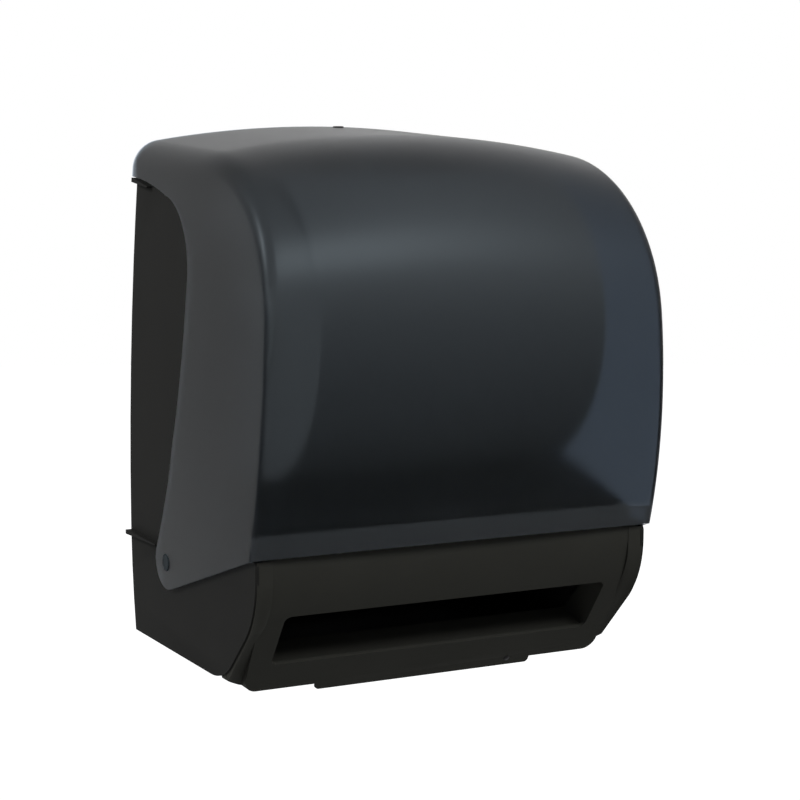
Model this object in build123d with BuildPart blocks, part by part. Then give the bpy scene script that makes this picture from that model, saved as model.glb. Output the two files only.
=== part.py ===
"""Automatic roll towel dispenser for a wall: a smoked cover that swings down, a black
chassis, a towel roll on two arms, and a battery driven roller that feeds the towel out.

Frame: +Z up, +X to the right seen from the front, +Y into the wall. The origin lies on
the wall face, at the centre of the four wall screws. All sizes are in millimetres.
"""

from math import acos, atan2, cos, hypot, pi, radians, sin, sqrt, tan
import os

from build123d import *

os.makedirs("parts", exist_ok=True)

# Overall form of the casing
TOP_Z = 186.0  # crown of the cover where it meets the wall
TOP_SLOPE = 4.6  # degrees, the top falls towards the front
TOP_ROUND = 117.0  # radius between the top and the front
FRONT_ROUND = 442.0  # radius of the bulging front
BULGE_Z = 42.5  # height where the front reaches furthest
DEPTH = 235.0  # wall to the furthest point of the front
FRONT = -DEPTH  # what stands at the front is placed from here
HALF_WIDTH = 154.0  # half the chassis at the wall, at its widest height
WIDEST_Z = -95.0
UPPER_BOW = 3300.0  # radius of the side's bow above its widest height
LOWER_BOW = 1436.0  # radius of the side's bow below it
SIDE_DRAFT = 0.062  # the sides close in towards the front
BODY_BOTTOM = -174.5

# Cover
COVER_WALL = 2.2
COVER_STEP = 4.2  # the cover stands this far outside the chassis side
CROWN_TOP = 15.0
CROWN_FRONT = 2.5
CORNER_TOP = 22.0
CORNER_CHIN = 4.0
CHIN_Z = -84.0
CHIN_Y = FRONT + 18.0
LIP_HEIGHT = 12.0
LIP_EXTRA = 1.3
WALL_GAP = 0.8  # cover and wall

# Cover hinge
PIVOT_Y = -76.0
PIVOT_Z = -111.0
EAR_R = 18.5
HINGE_PIN_R = 4.0
HINGE_PIN_HEAD = 1.2
HINGE_HEAD_R = 6.2
HINGE_HEAD_SEAT = 0.8  # the pin's head sits in a flat of this depth
HINGE_BOSS_R = 8.0
HINGE_BOSS = 6.0
RUNNING = 0.05  # radial clearance of a shaft in its bearing
SEAT_GAP = 0.3

# Rear side edge of the cover, from the wall down to the ear
EDGE_TOP_Z = 149.0
EDGE_FALL = 0.21
EDGE_KNEE_Y = -118.0
EDGE_WAIST_Y = -84.0
EDGE_WAIST_Z = -53.0
EDGE_KNEE_R = 55.0
EDGE_WAIST_R = 160.0

# Chassis
CHASSIS_WALL = 2.5
BACK_PLATE = 3.0
SIDE_OVERLAP = 3.0  # chassis side runs on under the cover's edge
HOUSING_FRONT = FRONT + 24.0
CHEEK_SLANT_Y = FRONT + 79.7
CHEEK_SLANT_Z = -121.8
CHEEK_LOW_R = 50.0
CHEEK_HIGH_R = 60.0
FIN_REACH = 4.2
FIN_THICK = 3.0
FIN_Z = -101.0
FIN_LENGTH = 56.0
RIB_LENGTH = 30.0
LEDGE = 5.0
LEDGE_FRONT_Y = -80.0
SCREW_SPAN_X = 200.0
SCREW_SPAN_Z = 220.0
SCREW_HOLE_R = 2.6
SCREW_PAD_R = 9.0
SCREW_PAD = 2.0
BACK_CLEAR = 2.0  # back plate's top edge and the cover
FLOOR_LENGTH = 136.0

# Nose with the towel exit
NOSE_WALL = 2.5
NOSE_TOP_HALF = HALF_WIDTH - 18.0
NOSE_BOTTOM_HALF = NOSE_TOP_HALF - 5.0
NOSE_CORNER_R = 9.0
EXIT_TOP_Y = FRONT + 34.2
EXIT_TOP_Z = -125.5
EXIT_LOW_Y = FRONT + 60.9
EXIT_LOW_Z = -162.6
EXIT_HALF = HALF_WIDTH - 37.0  # leaves room for the gears beside it
EXIT_CORNER_R = 5.0
LIP_Y = FRONT + 72.7
LIP_Z = -182.0
NOSE_TOP_Z = -82.0
NOSE_FRONT_Y = FRONT + 25.5
NOSE_REAR_Y = FRONT + 87.0
NOSE_BACK_TOP_Y = FRONT + 38.0
NOSE_MID_Y = FRONT + 49.0
NOSE_MID_Z = -118.0
SHELF_RISE = 17.0  # degrees, the exit's floor climbs inwards
SHELF_LENGTH = 27.0
CEILING_LENGTH = 21.0
DUCT_WALL = 2.0
TAB_HALF = 80.0
TAB_DROP = 4.7
TAB_CORNER = 2.5
SENSOR_X = 62.0
SENSOR_R = 2.2
SENSOR_UP = 0.6  # above the lower lip
SENSOR_DEPTH = 2.0

# Deck over the mechanism
DECK = 2.5
DECK_REAR_Z = -56.0
DECK_BEND_Y = FRONT + 140.0
DECK_FRONT_Y = FRONT + 39.0
DECK_FRONT_Z = -81.0
THROAT_FRONT_Y = FRONT + 53.0
THROAT_BACK_Y = FRONT + 77.0
THROAT_HALF = EXIT_HALF - 10.0
DECK_GAP = 0.3  # deck and chassis sides
DECK_RIM = 5.0

# Towel roll and its arms
ROLL_Y = FRONT / 2 - 2.5
ROLL_Z = 50.0
ROLL_R = DEPTH / 2 - 15.9
ROLL_WIDTH = 203.0
CORE_R = 20.0  # bore of the paper core
CORE_WALL = 2.0
HUB_FLANGE_R = 30.0
HUB_FLANGE = 3.5
HUB_DEPTH = 14.0
HUB_TIP_R = 14.0
HUB_BASE_R = 19.6
HUB_GAP = 0.5  # hub flange and towel
HUB_BORE_R = 8.5
HUB_BORE = 3.7
AXLE_R = 5.0
ARM_WEB = 2.5
ARM_RIM = 6.0
ARM_EYE_R = 15.0
ARM_BOSS_R = 9.0
CLIP_R = 7.5
CLIP = 1.3
ARM_ROOT_HEIGHT = 40.0
ARM_PIN_R = 2.5
ARM_BARREL_R = 5.0
ARM_PIVOT_Y = -12.0
ARM_X = 112.0  # the arm's pin
ARM_FACE_X = 107.0
LUG = 4.5
LUG_HALF_WIDTH = 6.5

# Feed rollers
END_PLATE = 3.0
END_PLATE_X = EXIT_HALF + 4.0  # inner face of the end plates
DRIVE_Y = FRONT + 87.6
DRIVE_Z = -122.6
DRIVE_R = 15.0
DRIVE_CORE_R = 12.0
DRIVE_SHAFT_R = 3.0
SLEEVE_LENGTH = 38.0
SLEEVE_PITCH = (END_PLATE_X - 15.0 - SLEEVE_LENGTH / 2) / 1.5
PINCH_R = 8.0
PINCH_SHAFT_R = 2.5
PAPER_GAP = 0.4
FEED_ANGLE = 45.0  # degrees, how steeply the towel leaves the rollers
BUSH_R = 6.0
BUSH_FLANGE = 1.2

# Gears
GEAR_MODULE = 0.8
DRIVE_TEETH = 36
IDLER_SMALL_TEETH = 14
IDLER_LARGE_TEETH = 48
PINION_TEETH = 12
PRESSURE_ANGLE = 20.0
GEAR_THICK = 4.0
GEAR_CLEAR = 0.9
BACKLASH = 0.2
IDLER_BEARING = -10.0  # degrees, direction from the drive shaft to the idler
PINION_BEARING = -25.0
IDLER_PIN_R = 2.0

# Motor
MOTOR_R = 14.0
MOTOR_LENGTH = 38.0
MOTOR_BOSS_R = 5.0
MOTOR_BOSS = 2.0
MOTOR_SHAFT_R = 1.15

# Batteries
CELL_R = 16.6
CELL_LENGTH = 61.0
CELL_COUNT = 4
CELL_Y = -31.0
CELL_Z = -77.5
CELL_NUB_R = 4.5
CELL_NUB = 1.5
CELL_GAP = 0.1
TRAY_WALL = 2.0
DOOR_HALF = 126.0
DOOR_FRONT_Y = -53.0
DOOR_HINGE_Y = -9.0
DOOR_REAR_Y = -12.0
DOOR_HOLE_REAR_Y = -5.5
DOOR = 2.2
DOOR_GAP = 0.5
DOOR_PIN_R = 1.2
DOOR_KNUCKLE_R = 2.0

# Lock
LOCK_Y = -20.0
LOCK_PLUG_R = 4.0
LOCK_BARREL_R = 8.0
LOCK_BARREL_BOTTOM = 166.5
LOCK_BARREL_TOP = 181.0
LOCK_BOSS_R = 11.0
LOCK_BOSS_BOTTOM = 172.0
LOCK_PLUG_TOP = 185.4
CAM_LENGTH = 14.0
CAM_WIDTH = 5.0
CAM_THICK = 2.5
KEEPER_NEAR_X = 9.0
KEEPER_FAR_X = 22.0
KEEPER_TAB_X = 36.0
KEEPER = 2.0
KEEPER_FRONT_Y = -27.0
KEEPER_Z = 163.0
KEEPER_HEIGHT = 6.0

# Control panel on the deck, left of the roll
PANEL_X = -127.0
PANEL_Y = -76.0
PANEL_WIDTH = 24.0
PANEL_LENGTH = 36.0
PANEL_HEIGHT = 7.0
PANEL_WALL = 1.6
BUTTON_R = 4.0
BUTTON_TRAVEL = 2.0
SWITCH_TRAVEL = 2.0

# Screws
SCREW_R = 1.5
SCREW_HEAD_R = 3.0
SCREW_HEAD = 1.8
SCREW_SLOT = 0.8
SCREW_SLOT_DEPTH = 0.9
SCREW_LENGTH = 10.0
SCREW_DEPTH = 7.0
SCREW_SINK = 1.0
DECK_SCREW_X = HALF_WIDTH - 11.5
DECK_SCREW_Y = -25.0
DECK_SCREW_BOSS_R = 4.0
DECK_SCREW_BOSS = 12.0
KEEPER_SCREWS = [(29.5, 158.0), (29.5, 168.0)]
KEEPER_SCREW_DEPTH = 2.0
KEEPER_TAB_HEIGHT = 18.0

# Tear bar
TEAR_THICK = 1.2
TEAR_FRONT_Y = FRONT + 43.0
TEAR_REAR_Y = FRONT + 58.0
TEAR_TOOTH = 3.0
TEAR_PITCH = 4.0
TEAR_COUNT = int(2 * EXIT_HALF / TEAR_PITCH) - 1

# End plates
PLATE_REAR_Y = FRONT + 147.0
PLATE_TOE_Y = FRONT + 85.0
PLATE_FRONT_Y = FRONT + 49.0
PLATE_FRONT_Z = -125.0
PLATE_BOSS = 8.0
PLATE_BOSS_X = END_PLATE_X + 4.0
PLATE_BOSS_Y = FRONT + 85.0
GEAR_SCREWS = [
    (FRONT + 75.0, -143.0),
    (FRONT + 107.0, -97.0),
    (FRONT + 138.0, -118.0),
    (FRONT + 123.0, -158.0),
]
PILLAR_R = 3.5
GEARBOX = 1.8
IDLER_HUB_R = 4.0
MOTOR_FLAT = 11.0

# Tray, door and board
CONTACT = 1.5
TRAY_CORNER = 12.0
TRAY_FLANGE_FRONT_Y = -57.0
TRAY_FLANGE_REAR_Y = -3.5
TRAY_FLANGE_HALF = 131.0
DOOR_PIN_X = 131.0
BOARD_X = -75.0
BOARD_Y = -91.0
BOARD_WIDTH = 80.0
BOARD_LENGTH = 54.0
BOARD_Z = -72.0
BOARD = 1.6
BUTTON_Y = 9.0
SWITCH_Y = -8.0
SWITCH_XS = (-5.0, 5.0)
SWITCH_WIDTH = 3.0
SWITCH_LENGTH = 4.0

# Values that follow from the sizes above
PINCH_Y = DRIVE_Y - (DRIVE_R + PINCH_R + PAPER_GAP) * cos(radians(FEED_ANGLE))
PINCH_Z = DRIVE_Z + (DRIVE_R + PINCH_R + PAPER_GAP) * sin(radians(FEED_ANGLE))
idler_reach = GEAR_MODULE * (DRIVE_TEETH + IDLER_SMALL_TEETH) / 2
IDLER_Y = DRIVE_Y + idler_reach * cos(radians(IDLER_BEARING))
IDLER_Z = DRIVE_Z + idler_reach * sin(radians(IDLER_BEARING))
pinion_reach = GEAR_MODULE * (IDLER_LARGE_TEETH + PINION_TEETH) / 2
PINION_Y = IDLER_Y + pinion_reach * cos(radians(PINION_BEARING))
PINION_Z = IDLER_Z + pinion_reach * sin(radians(PINION_BEARING))
GEAR_X = END_PLATE_X + END_PLATE + GEAR_CLEAR
GEARBOX_X = GEAR_X + 2 * GEAR_THICK + 2 * GEAR_CLEAR
DRIVE_SHAFT_END = GEAR_X + GEAR_THICK + SEAT_GAP
CORE_HALF = 1.5 * SLEEVE_PITCH + SLEEVE_LENGTH / 2 + 1
IDLER_BORE = IDLER_PIN_R + RUNNING
MOTOR_SHAFT_START = END_PLATE_X - 10
ear_to_chin = hypot(CHIN_Y - PIVOT_Y, CHIN_Z - PIVOT_Z)
chin_bearing = atan2(CHIN_Z - PIVOT_Z, CHIN_Y - PIVOT_Y)
waist_bearing = atan2(EDGE_WAIST_Z - PIVOT_Z, EDGE_WAIST_Y - PIVOT_Y)
ear_to_waist = hypot(EDGE_WAIST_Y - PIVOT_Y, EDGE_WAIST_Z - PIVOT_Z)


def ear_point(angle):
    """A point on the rim of the cover's ear, at an angle about the pivot."""
    return (PIVOT_Y + EAR_R * cos(angle), PIVOT_Z + EAR_R * sin(angle))


ear_low = chin_bearing + acos(EAR_R / ear_to_chin)
ear_rear = waist_bearing - acos(EAR_R / ear_to_waist)


def side_half(y, z):
    """Half width of the chassis at a depth and height: a bowed side with draft."""
    bow = UPPER_BOW if z > WIDEST_Z else LOWER_BOW
    return HALF_WIDTH + SIDE_DRAFT * y - (z - WIDEST_Z) ** 2 / (2 * bow)


def round_centre():
    """Centre of the top round, which touches the top line and the front's big arc."""
    slope = tan(radians(TOP_SLOPE))
    low = TOP_Z - TOP_ROUND / cos(radians(TOP_SLOPE))
    front = -DEPTH + FRONT_ROUND
    a = 1 + slope**2
    b = -2 * front + 2 * slope * (low - BULGE_Z)
    c = front**2 + (low - BULGE_Z) ** 2 - (FRONT_ROUND - TOP_ROUND) ** 2
    y = (-b - sqrt(b * b - 4 * a * c)) / (2 * a)
    return y, low + slope * y


ROUND_Y, ROUND_Z = round_centre()

# The cover's cross-sections turn about a line low behind its ears
FAN_Y = -20.0
FAN_Z = -150.0
FAN_R = 20.0
FAN_ANGLES = [-12, -4, 4, 12, 20, 27, 34, 41, 49, 57, 65, 72, 78]


def skin_reach(angle, inset):
    """Distance from the fan's line to the cover's skin, moved inwards by inset."""
    dy, dz = -sin(radians(angle)), cos(radians(angle))
    slope = tan(radians(TOP_SLOPE))
    height = TOP_Z - inset / cos(radians(TOP_SLOPE))
    on_line = (height + slope * FAN_Y - FAN_Z) / (dz - slope * dy)
    if FAN_Y + on_line * dy > ROUND_Y - TOP_ROUND * sin(radians(TOP_SLOPE)):
        return on_line

    def on_arc(cy, cz, radius):
        oy, oz = FAN_Y - cy, FAN_Z - cz
        half_b = oy * dy + oz * dz
        return -half_b + sqrt(half_b**2 - oy**2 - oz**2 + (radius - inset) ** 2)

    reach = on_arc(-DEPTH + FRONT_ROUND, BULGE_Z, FRONT_ROUND)
    meet_z = BULGE_Z + FRONT_ROUND * (ROUND_Z - BULGE_Z) / (FRONT_ROUND - TOP_ROUND)
    if FAN_Z + reach * dz > meet_z:
        reach = on_arc(ROUND_Y, ROUND_Z, TOP_ROUND)
    return reach


def blend(low, high, start, end, value):
    """Smooth change from low at start to high at end."""
    share = min(max((value - start) / (end - start), 0), 1)
    return low + (high - low) * share * share * (3 - 2 * share)


def fan_section(angle, inset, floor=FAN_R):
    """One crowned cross-section of the cover, drawn on a plane through the fan's line."""
    dy, dz = -sin(radians(angle)), cos(radians(angle))
    reach = skin_reach(angle, inset)
    shoulder = reach - blend(CROWN_TOP, CROWN_FRONT, 17, 47, angle)
    corner = blend(CORNER_TOP, CORNER_CHIN, -6, 68, angle) - 0.8 * inset

    def half(distance):
        y, z = FAN_Y + distance * dy, FAN_Z + distance * dz
        return side_half(y, z) + COVER_STEP - inset

    middle = (floor + shoulder) / 2
    plane = Plane(origin=(0, FAN_Y, FAN_Z), x_dir=(1, 0, 0), z_dir=(0, -dz, dy))
    with BuildSketch(plane) as section:
        with BuildLine():
            low_l, low_r = (-half(floor), floor), (half(floor), floor)
            top_l, top_r = (-half(shoulder), shoulder), (half(shoulder), shoulder)
            ThreePointArc(low_r, (half(middle), middle), top_r)
            ThreePointArc(top_r, (0, reach), top_l)
            ThreePointArc(top_l, (-half(middle), middle), low_l)
            Line(low_l, low_r)
        make_face()
        shoulders = section.vertices().group_by(Axis.Y)[-1]
        fillet(shoulders, radius=corner)
    return section.sketch


def cover_side_face():
    """Side outline of the cover, seen along X: all that lies ahead of its rear edge."""
    chin_slope = (CHIN_Z - ear_point(ear_low)[1]) / (CHIN_Y - ear_point(ear_low)[0])
    far_y, far_z = CHIN_Y - 40, CHIN_Z - 40 * chin_slope
    knee = (EDGE_KNEE_Y, EDGE_TOP_Z + EDGE_FALL * EDGE_KNEE_Y)
    waist = (EDGE_WAIST_Y, EDGE_WAIST_Z)
    with BuildSketch() as outline:
        with BuildLine():
            ThreePointArc(
                ear_point(ear_rear), ear_point((ear_rear + ear_low) / 2 - pi), ear_point(ear_low)
            )
            Polyline(
                ear_point(ear_low),
                (far_y, far_z),
                (far_y, TOP_Z + 20),
                (-WALL_GAP, TOP_Z + 20),
                (-WALL_GAP, EDGE_TOP_Z - EDGE_FALL * WALL_GAP),
                knee,
                waist,
                ear_point(ear_rear),
            )
        make_face()
        fillet(outline.vertices().sort_by_distance((*knee, 0))[0], radius=EDGE_KNEE_R)
        fillet(outline.vertices().sort_by_distance((*waist, 0))[0], radius=EDGE_WAIST_R)
    return outline.sketch


def side_block(inset, front, back=12.0):
    """Block between the chassis's two bowed and drafted sides, moved inwards by inset."""
    low, high = BODY_BOTTOM - 20, TOP_Z + 10
    with BuildPart() as block:
        for y in (back, front):
            with BuildSketch(Plane((0, y, 0), x_dir=(1, 0, 0), z_dir=(0, -1, 0))):
                with BuildLine():
                    for side in (1, -1):

                        def at(z):
                            return (side * (side_half(y, z) - inset), z)

                        ThreePointArc(at(low), at((low + WIDEST_Z) / 2), at(WIDEST_Z))
                        ThreePointArc(at(WIDEST_Z), at((high + WIDEST_Z) / 2), at(high))
                    for z in (low, high):
                        half = side_half(y, z) - inset
                        Line((-half, z), (half, z))
                make_face()
        loft(ruled=True)
    return block.part


def save(piece, name):
    """Label a finished piece and write it as its own file."""
    piece.label = name
    export_step(piece, f"parts/{name}.step")


def rod(x0, x1, y, z, radius):
    """A round bar along X between two places, in either order."""
    start, end = min(x0, x1), max(x0, x1)
    return Solid.make_cylinder(radius, end - start, Plane((start, y, z), z_dir=(1, 0, 0)))


COVER_SIDE = cover_side_face()
EAR_FACE = side_half(PIVOT_Y, PIVOT_Z) + COVER_STEP
PIN_SEAT = EAR_FACE - HINGE_HEAD_SEAT
PIN_BOSS_FACE = EAR_FACE - COVER_STEP - 1.0
PIN_INNER = PIN_BOSS_FACE - HINGE_BOSS - 1.5


# Cover: a thin crowned shell, open at the back and below
with BuildPart() as cover_cavity:
    for fan_angle in [FAN_ANGLES[0] - 5] + FAN_ANGLES + [FAN_ANGLES[-1] + 4]:
        add(fan_section(fan_angle, COVER_WALL, FAN_R - 6))
    loft()

# The cavity is smaller by the lip's thickness along the bottom edge of the front
with BuildPart() as lip_cavity:
    for fan_angle in (54, 61, 67, 73, 79, 86):
        add(fan_section(fan_angle, COVER_WALL + LIP_EXTRA, FAN_R - 6))
    loft()

# The upper skin again, half a wall thinner, to bound what grows out of its underside
with BuildPart() as lock_top:
    for fan_angle in (-17, -12, -4, 4, 12):
        add(fan_section(fan_angle, COVER_WALL / 2, 250))
    loft()

with BuildPart() as cover:
    for fan_angle in FAN_ANGLES:
        add(fan_section(fan_angle, 0))
    loft()
    with BuildSketch(Plane.YZ):
        add(COVER_SIDE)
    extrude(amount=2 * HALF_WIDTH, both=True, mode=Mode.INTERSECT)
    with BuildPart(mode=Mode.PRIVATE) as upper_cavity:
        add(cover_cavity.part)
        with BuildSketch(Plane.XY.offset(CHIN_Z - 60)):
            with Locations((0, CHIN_Y - 10)):
                Rectangle(4 * HALF_WIDTH, 60)
        extrude(amount=60 + LIP_HEIGHT, mode=Mode.SUBTRACT)
        add(lip_cavity.part)
    add(upper_cavity.part, mode=Mode.SUBTRACT)
    # Boss for the lock, grown out of the underside of the top
    with BuildPart(mode=Mode.PRIVATE) as lock_boss:
        with BuildSketch(Plane.XY.offset(LOCK_BOSS_BOTTOM)):
            with Locations((0, LOCK_Y)):
                Circle(LOCK_BOSS_R)
        extrude(amount=TOP_Z - LOCK_BOSS_BOTTOM)
        add(lock_top.part, mode=Mode.INTERSECT)
    add(lock_boss.part)
    with BuildSketch(Plane.XY.offset(LOCK_BOSS_BOTTOM - 5)):
        with Locations((0, LOCK_Y)):
            Circle(LOCK_BARREL_R)
    extrude(amount=LOCK_BARREL_TOP - LOCK_BOSS_BOTTOM + 5, mode=Mode.SUBTRACT)
    with BuildSketch(Plane.XY.offset(LOCK_BOSS_BOTTOM)):
        with Locations((0, LOCK_Y)):
            Circle(LOCK_PLUG_R + RUNNING)
    extrude(amount=30, mode=Mode.SUBTRACT)
    # Flat seats and holes for the hinge pins
    for side in (1, -1):
        add(rod(side * PIN_SEAT, side * (PIN_SEAT + 9), PIVOT_Y, PIVOT_Z, HINGE_HEAD_R), mode=Mode.SUBTRACT)
        add(rod(side * PIN_INNER, side * PIN_SEAT, PIVOT_Y, PIVOT_Z, HINGE_PIN_R), mode=Mode.SUBTRACT)
save(cover.part, "cover")

# Hinge pins: pressed into the cover's ears, turning in the chassis's bosses
with BuildPart() as hinge_pins:
    for side in (1, -1):
        add(rod(side * PIN_INNER, side * PIN_SEAT, PIVOT_Y, PIVOT_Z, HINGE_PIN_R))
        head = side * (PIN_SEAT + HINGE_PIN_HEAD)
        add(rod(side * PIN_SEAT, head, PIVOT_Y, PIVOT_Z, HINGE_HEAD_R - SEAT_GAP))
    rims = hinge_pins.edges().filter_by(GeomType.CIRCLE).sort_by(Axis.X)
    chamfer([rims[0], rims[-1]], length=HINGE_PIN_HEAD / 2)
save(hinge_pins.part, "hinge_pins")

# Lock: a barrel pressed into the cover's boss, a turning plug and its cam
with BuildPart() as lock_barrel:
    with BuildSketch(Plane.XY.offset(LOCK_BARREL_BOTTOM)):
        with Locations((0, LOCK_Y)):
            Circle(LOCK_BARREL_R)
            Circle(LOCK_PLUG_R + RUNNING, mode=Mode.SUBTRACT)
    extrude(amount=LOCK_BARREL_TOP - LOCK_BARREL_BOTTOM)
    chamfer(lock_barrel.edges().filter_by(GeomType.CIRCLE).group_by(Axis.Z)[0], length=0.4)
save(lock_barrel.part, "lock_barrel")

CAM_TOP = LOCK_BARREL_BOTTOM - 1.0
with BuildPart() as lock_plug:
    with BuildSketch(Plane.XY.offset(CAM_TOP - CAM_THICK)):
        with Locations((0, LOCK_Y)):
            Circle(LOCK_PLUG_R)
    extrude(amount=LOCK_PLUG_TOP - CAM_TOP + CAM_THICK)
    chamfer(lock_plug.edges().filter_by(GeomType.CIRCLE).group_by(Axis.Z)[-1], length=0.3)
    with BuildSketch(Plane.XY.offset(LOCK_PLUG_TOP)):
        with Locations((0, LOCK_Y)):
            Rectangle(1.0, LOCK_PLUG_R * 1.2)
    extrude(amount=-4, mode=Mode.SUBTRACT)
save(lock_plug.part, "lock_plug")

with BuildPart() as lock_cam:
    with BuildSketch(Plane.XY.offset(CAM_TOP - CAM_THICK)):
        with Locations((0, LOCK_Y)):
            Circle(LOCK_PLUG_R + 2)
        with Locations((0, LOCK_Y + CAM_LENGTH / 2)):
            Rectangle(CAM_WIDTH, CAM_LENGTH)
        with Locations((0, LOCK_Y)):
            Circle(LOCK_PLUG_R, mode=Mode.SUBTRACT)
    extrude(amount=CAM_THICK)
save(lock_cam.part, "lock_cam")

# Chassis: back plate, drafted side walls, floor, lugs for the arms
with BuildPart() as chassis:
    # Side outline of the housing, without what the cover takes up
    with BuildSketch(Plane.YZ) as housing_side:
        with BuildLine():
            Polyline(
                (-BACK_PLATE, BODY_BOTTOM),
                (CHEEK_SLANT_Y, BODY_BOTTOM),
                (HOUSING_FRONT, CHEEK_SLANT_Z),
                (HOUSING_FRONT, CHIN_Z - 5.5),
                (HOUSING_FRONT + SIDE_OVERLAP, CHIN_Z + 1),
                (HOUSING_FRONT + SIDE_OVERLAP, EDGE_TOP_Z),
                (-BACK_PLATE, EDGE_TOP_Z + SIDE_OVERLAP),
                close=True,
            )
        make_face()
        fillet(housing_side.vertices().sort_by_distance((CHEEK_SLANT_Y, BODY_BOTTOM, 0))[0], CHEEK_LOW_R)
        fillet(housing_side.vertices().sort_by_distance((HOUSING_FRONT, CHEEK_SLANT_Z, 0))[0], CHEEK_HIGH_R)
        with BuildSketch(mode=Mode.SUBTRACT):
            add(COVER_SIDE)
            offset(amount=-SIDE_OVERLAP, kind=Kind.INTERSECTION)
        with Locations((PIVOT_Y, PIVOT_Z)):
            Circle(EAR_R)
    extrude(amount=2 * HALF_WIDTH, both=True)
    add(side_block(0, -DEPTH), mode=Mode.INTERSECT)
    add(side_block(CHASSIS_WALL, -DEPTH - 5, 20), mode=Mode.SUBTRACT)
    # Floor, and ledges that carry the back half of the deck
    with BuildPart(mode=Mode.PRIVATE) as floor:
        with BuildSketch(Plane.YZ):
            with Locations((-BACK_PLATE / 2, BODY_BOTTOM)):
                Rectangle(FLOOR_LENGTH, CHASSIS_WALL, align=(Align.MAX, Align.MIN))
        extrude(amount=2 * HALF_WIDTH, both=True)
        add(side_block(CHASSIS_WALL / 2, -DEPTH), mode=Mode.INTERSECT)
    add(floor.part)
    with BuildPart(mode=Mode.PRIVATE) as ledges:
        with BuildSketch(Plane.YZ):
            with BuildLine():
                Polyline(
                    (-BACK_PLATE, DECK_REAR_Z - DECK),
                    (LEDGE_FRONT_Y, DECK_REAR_Z - DECK),
                    (LEDGE_FRONT_Y, DECK_REAR_Z - DECK - LEDGE),
                    (-BACK_PLATE, DECK_REAR_Z - DECK - LEDGE),
                    close=True,
                )
            make_face()
        extrude(amount=2 * HALF_WIDTH, both=True)
        add(side_block(CHASSIS_WALL / 2, -DEPTH), mode=Mode.INTERSECT)
        add(side_block(CHASSIS_WALL + LEDGE, -DEPTH - 5, 20), mode=Mode.SUBTRACT)
        with BuildSketch(Plane.XY.offset(DECK_REAR_Z - DECK)):
            with Locations(*[(side * DECK_SCREW_X, DECK_SCREW_Y) for side in (1, -1)]):
                Circle(DECK_SCREW_BOSS_R)
        extrude(amount=-DECK_SCREW_BOSS)
    add(ledges.part)
    # Back plate, rounded under the cover's crowned top
    with BuildPart(mode=Mode.PRIVATE) as plate:
        with BuildSketch(Plane((0, 0, 0), x_dir=(1, 0, 0), z_dir=(0, -1, 0))) as back:
            top = TOP_Z - COVER_WALL - BACK_CLEAR
            half = side_half(0, top - CROWN_TOP)
            with BuildLine():
                ThreePointArc((half, top - CROWN_TOP), (0, top), (-half, top - CROWN_TOP))
                Polyline(
                    (-half, top - CROWN_TOP),
                    (-half - 8, top - 3 * CROWN_TOP),
                    (-half - 12, BODY_BOTTOM),
                    (half + 12, BODY_BOTTOM),
                    (half + 8, top - 3 * CROWN_TOP),
                    (half, top - CROWN_TOP),
                )
            make_face()
            fillet(back.vertices().group_by(Axis.Y)[-1], radius=CORNER_TOP)
        extrude(amount=BACK_PLATE)
        add(side_block(0, -DEPTH), mode=Mode.INTERSECT)
    add(plate.part)
    # Pads behind the four wall screws
    pad_plane = Plane((0, -BACK_PLATE, 0), x_dir=(1, 0, 0), z_dir=(0, -1, 0))
    with BuildSketch(pad_plane):
        with GridLocations(SCREW_SPAN_X, SCREW_SPAN_Z, 2, 2):
            Circle(SCREW_PAD_R)
    extrude(amount=SCREW_PAD)
    # Lugs that carry the arms' pins
    with BuildSketch(pad_plane.offset(-0.5)):
        for side in (1, -1):
            for z in (1, -1):
                reach = ARM_ROOT_HEIGHT / 2 + SEAT_GAP + LUG / 2
                with Locations((side * ARM_X, ROLL_Z + z * reach)):
                    Rectangle(2 * LUG_HALF_WIDTH, LUG)
    extrude(amount=0.5 - BACK_PLATE - ARM_PIVOT_Y + LUG_HALF_WIDTH)
    with Locations(*[(side * ARM_X, ARM_PIVOT_Y, ROLL_Z) for side in (1, -1)]):
        Cylinder(ARM_PIN_R, 2 * ARM_ROOT_HEIGHT, mode=Mode.SUBTRACT)
    # Wall screw holes, and blind holes for the screws of the latch keeper
    with BuildSketch(Plane((0, 1, 0), x_dir=(1, 0, 0), z_dir=(0, -1, 0))):
        with GridLocations(SCREW_SPAN_X, SCREW_SPAN_Z, 2, 2):
            Circle(SCREW_HOLE_R)
    extrude(amount=20, mode=Mode.SUBTRACT)
    with BuildSketch(pad_plane):
        with Locations(*KEEPER_SCREWS):
            Circle(SCREW_R)
    extrude(amount=-KEEPER_SCREW_DEPTH, mode=Mode.SUBTRACT)
    # Ribs under the cover's rear edge, and fins that run from the wall to the ears
    with BuildPart(mode=Mode.PRIVATE) as ribs:
        with BuildSketch(Plane.YZ):
            with BuildLine():
                Polyline(
                    (0, FIN_Z - FIN_THICK),
                    (0, FIN_Z),
                    (-FIN_LENGTH, FIN_Z - 1),
                    (-FIN_LENGTH, FIN_Z - FIN_THICK + 1),
                    close=True,
                )
            make_face()
            with BuildLine():
                Polyline(
                    (0, EDGE_TOP_Z - 1 - FIN_THICK),
                    (0, EDGE_TOP_Z - 1),
                    (-RIB_LENGTH, EDGE_TOP_Z - 1 - RIB_LENGTH * EDGE_FALL),
                    (-RIB_LENGTH, EDGE_TOP_Z - 2 - RIB_LENGTH * EDGE_FALL),
                    close=True,
                )
            make_face()
        extrude(amount=2 * HALF_WIDTH, both=True)
        add(side_block(-FIN_REACH, -DEPTH), mode=Mode.INTERSECT)
        add(side_block(CHASSIS_WALL / 2, -DEPTH - 5, 20), mode=Mode.SUBTRACT)
    add(ribs.part)
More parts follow.
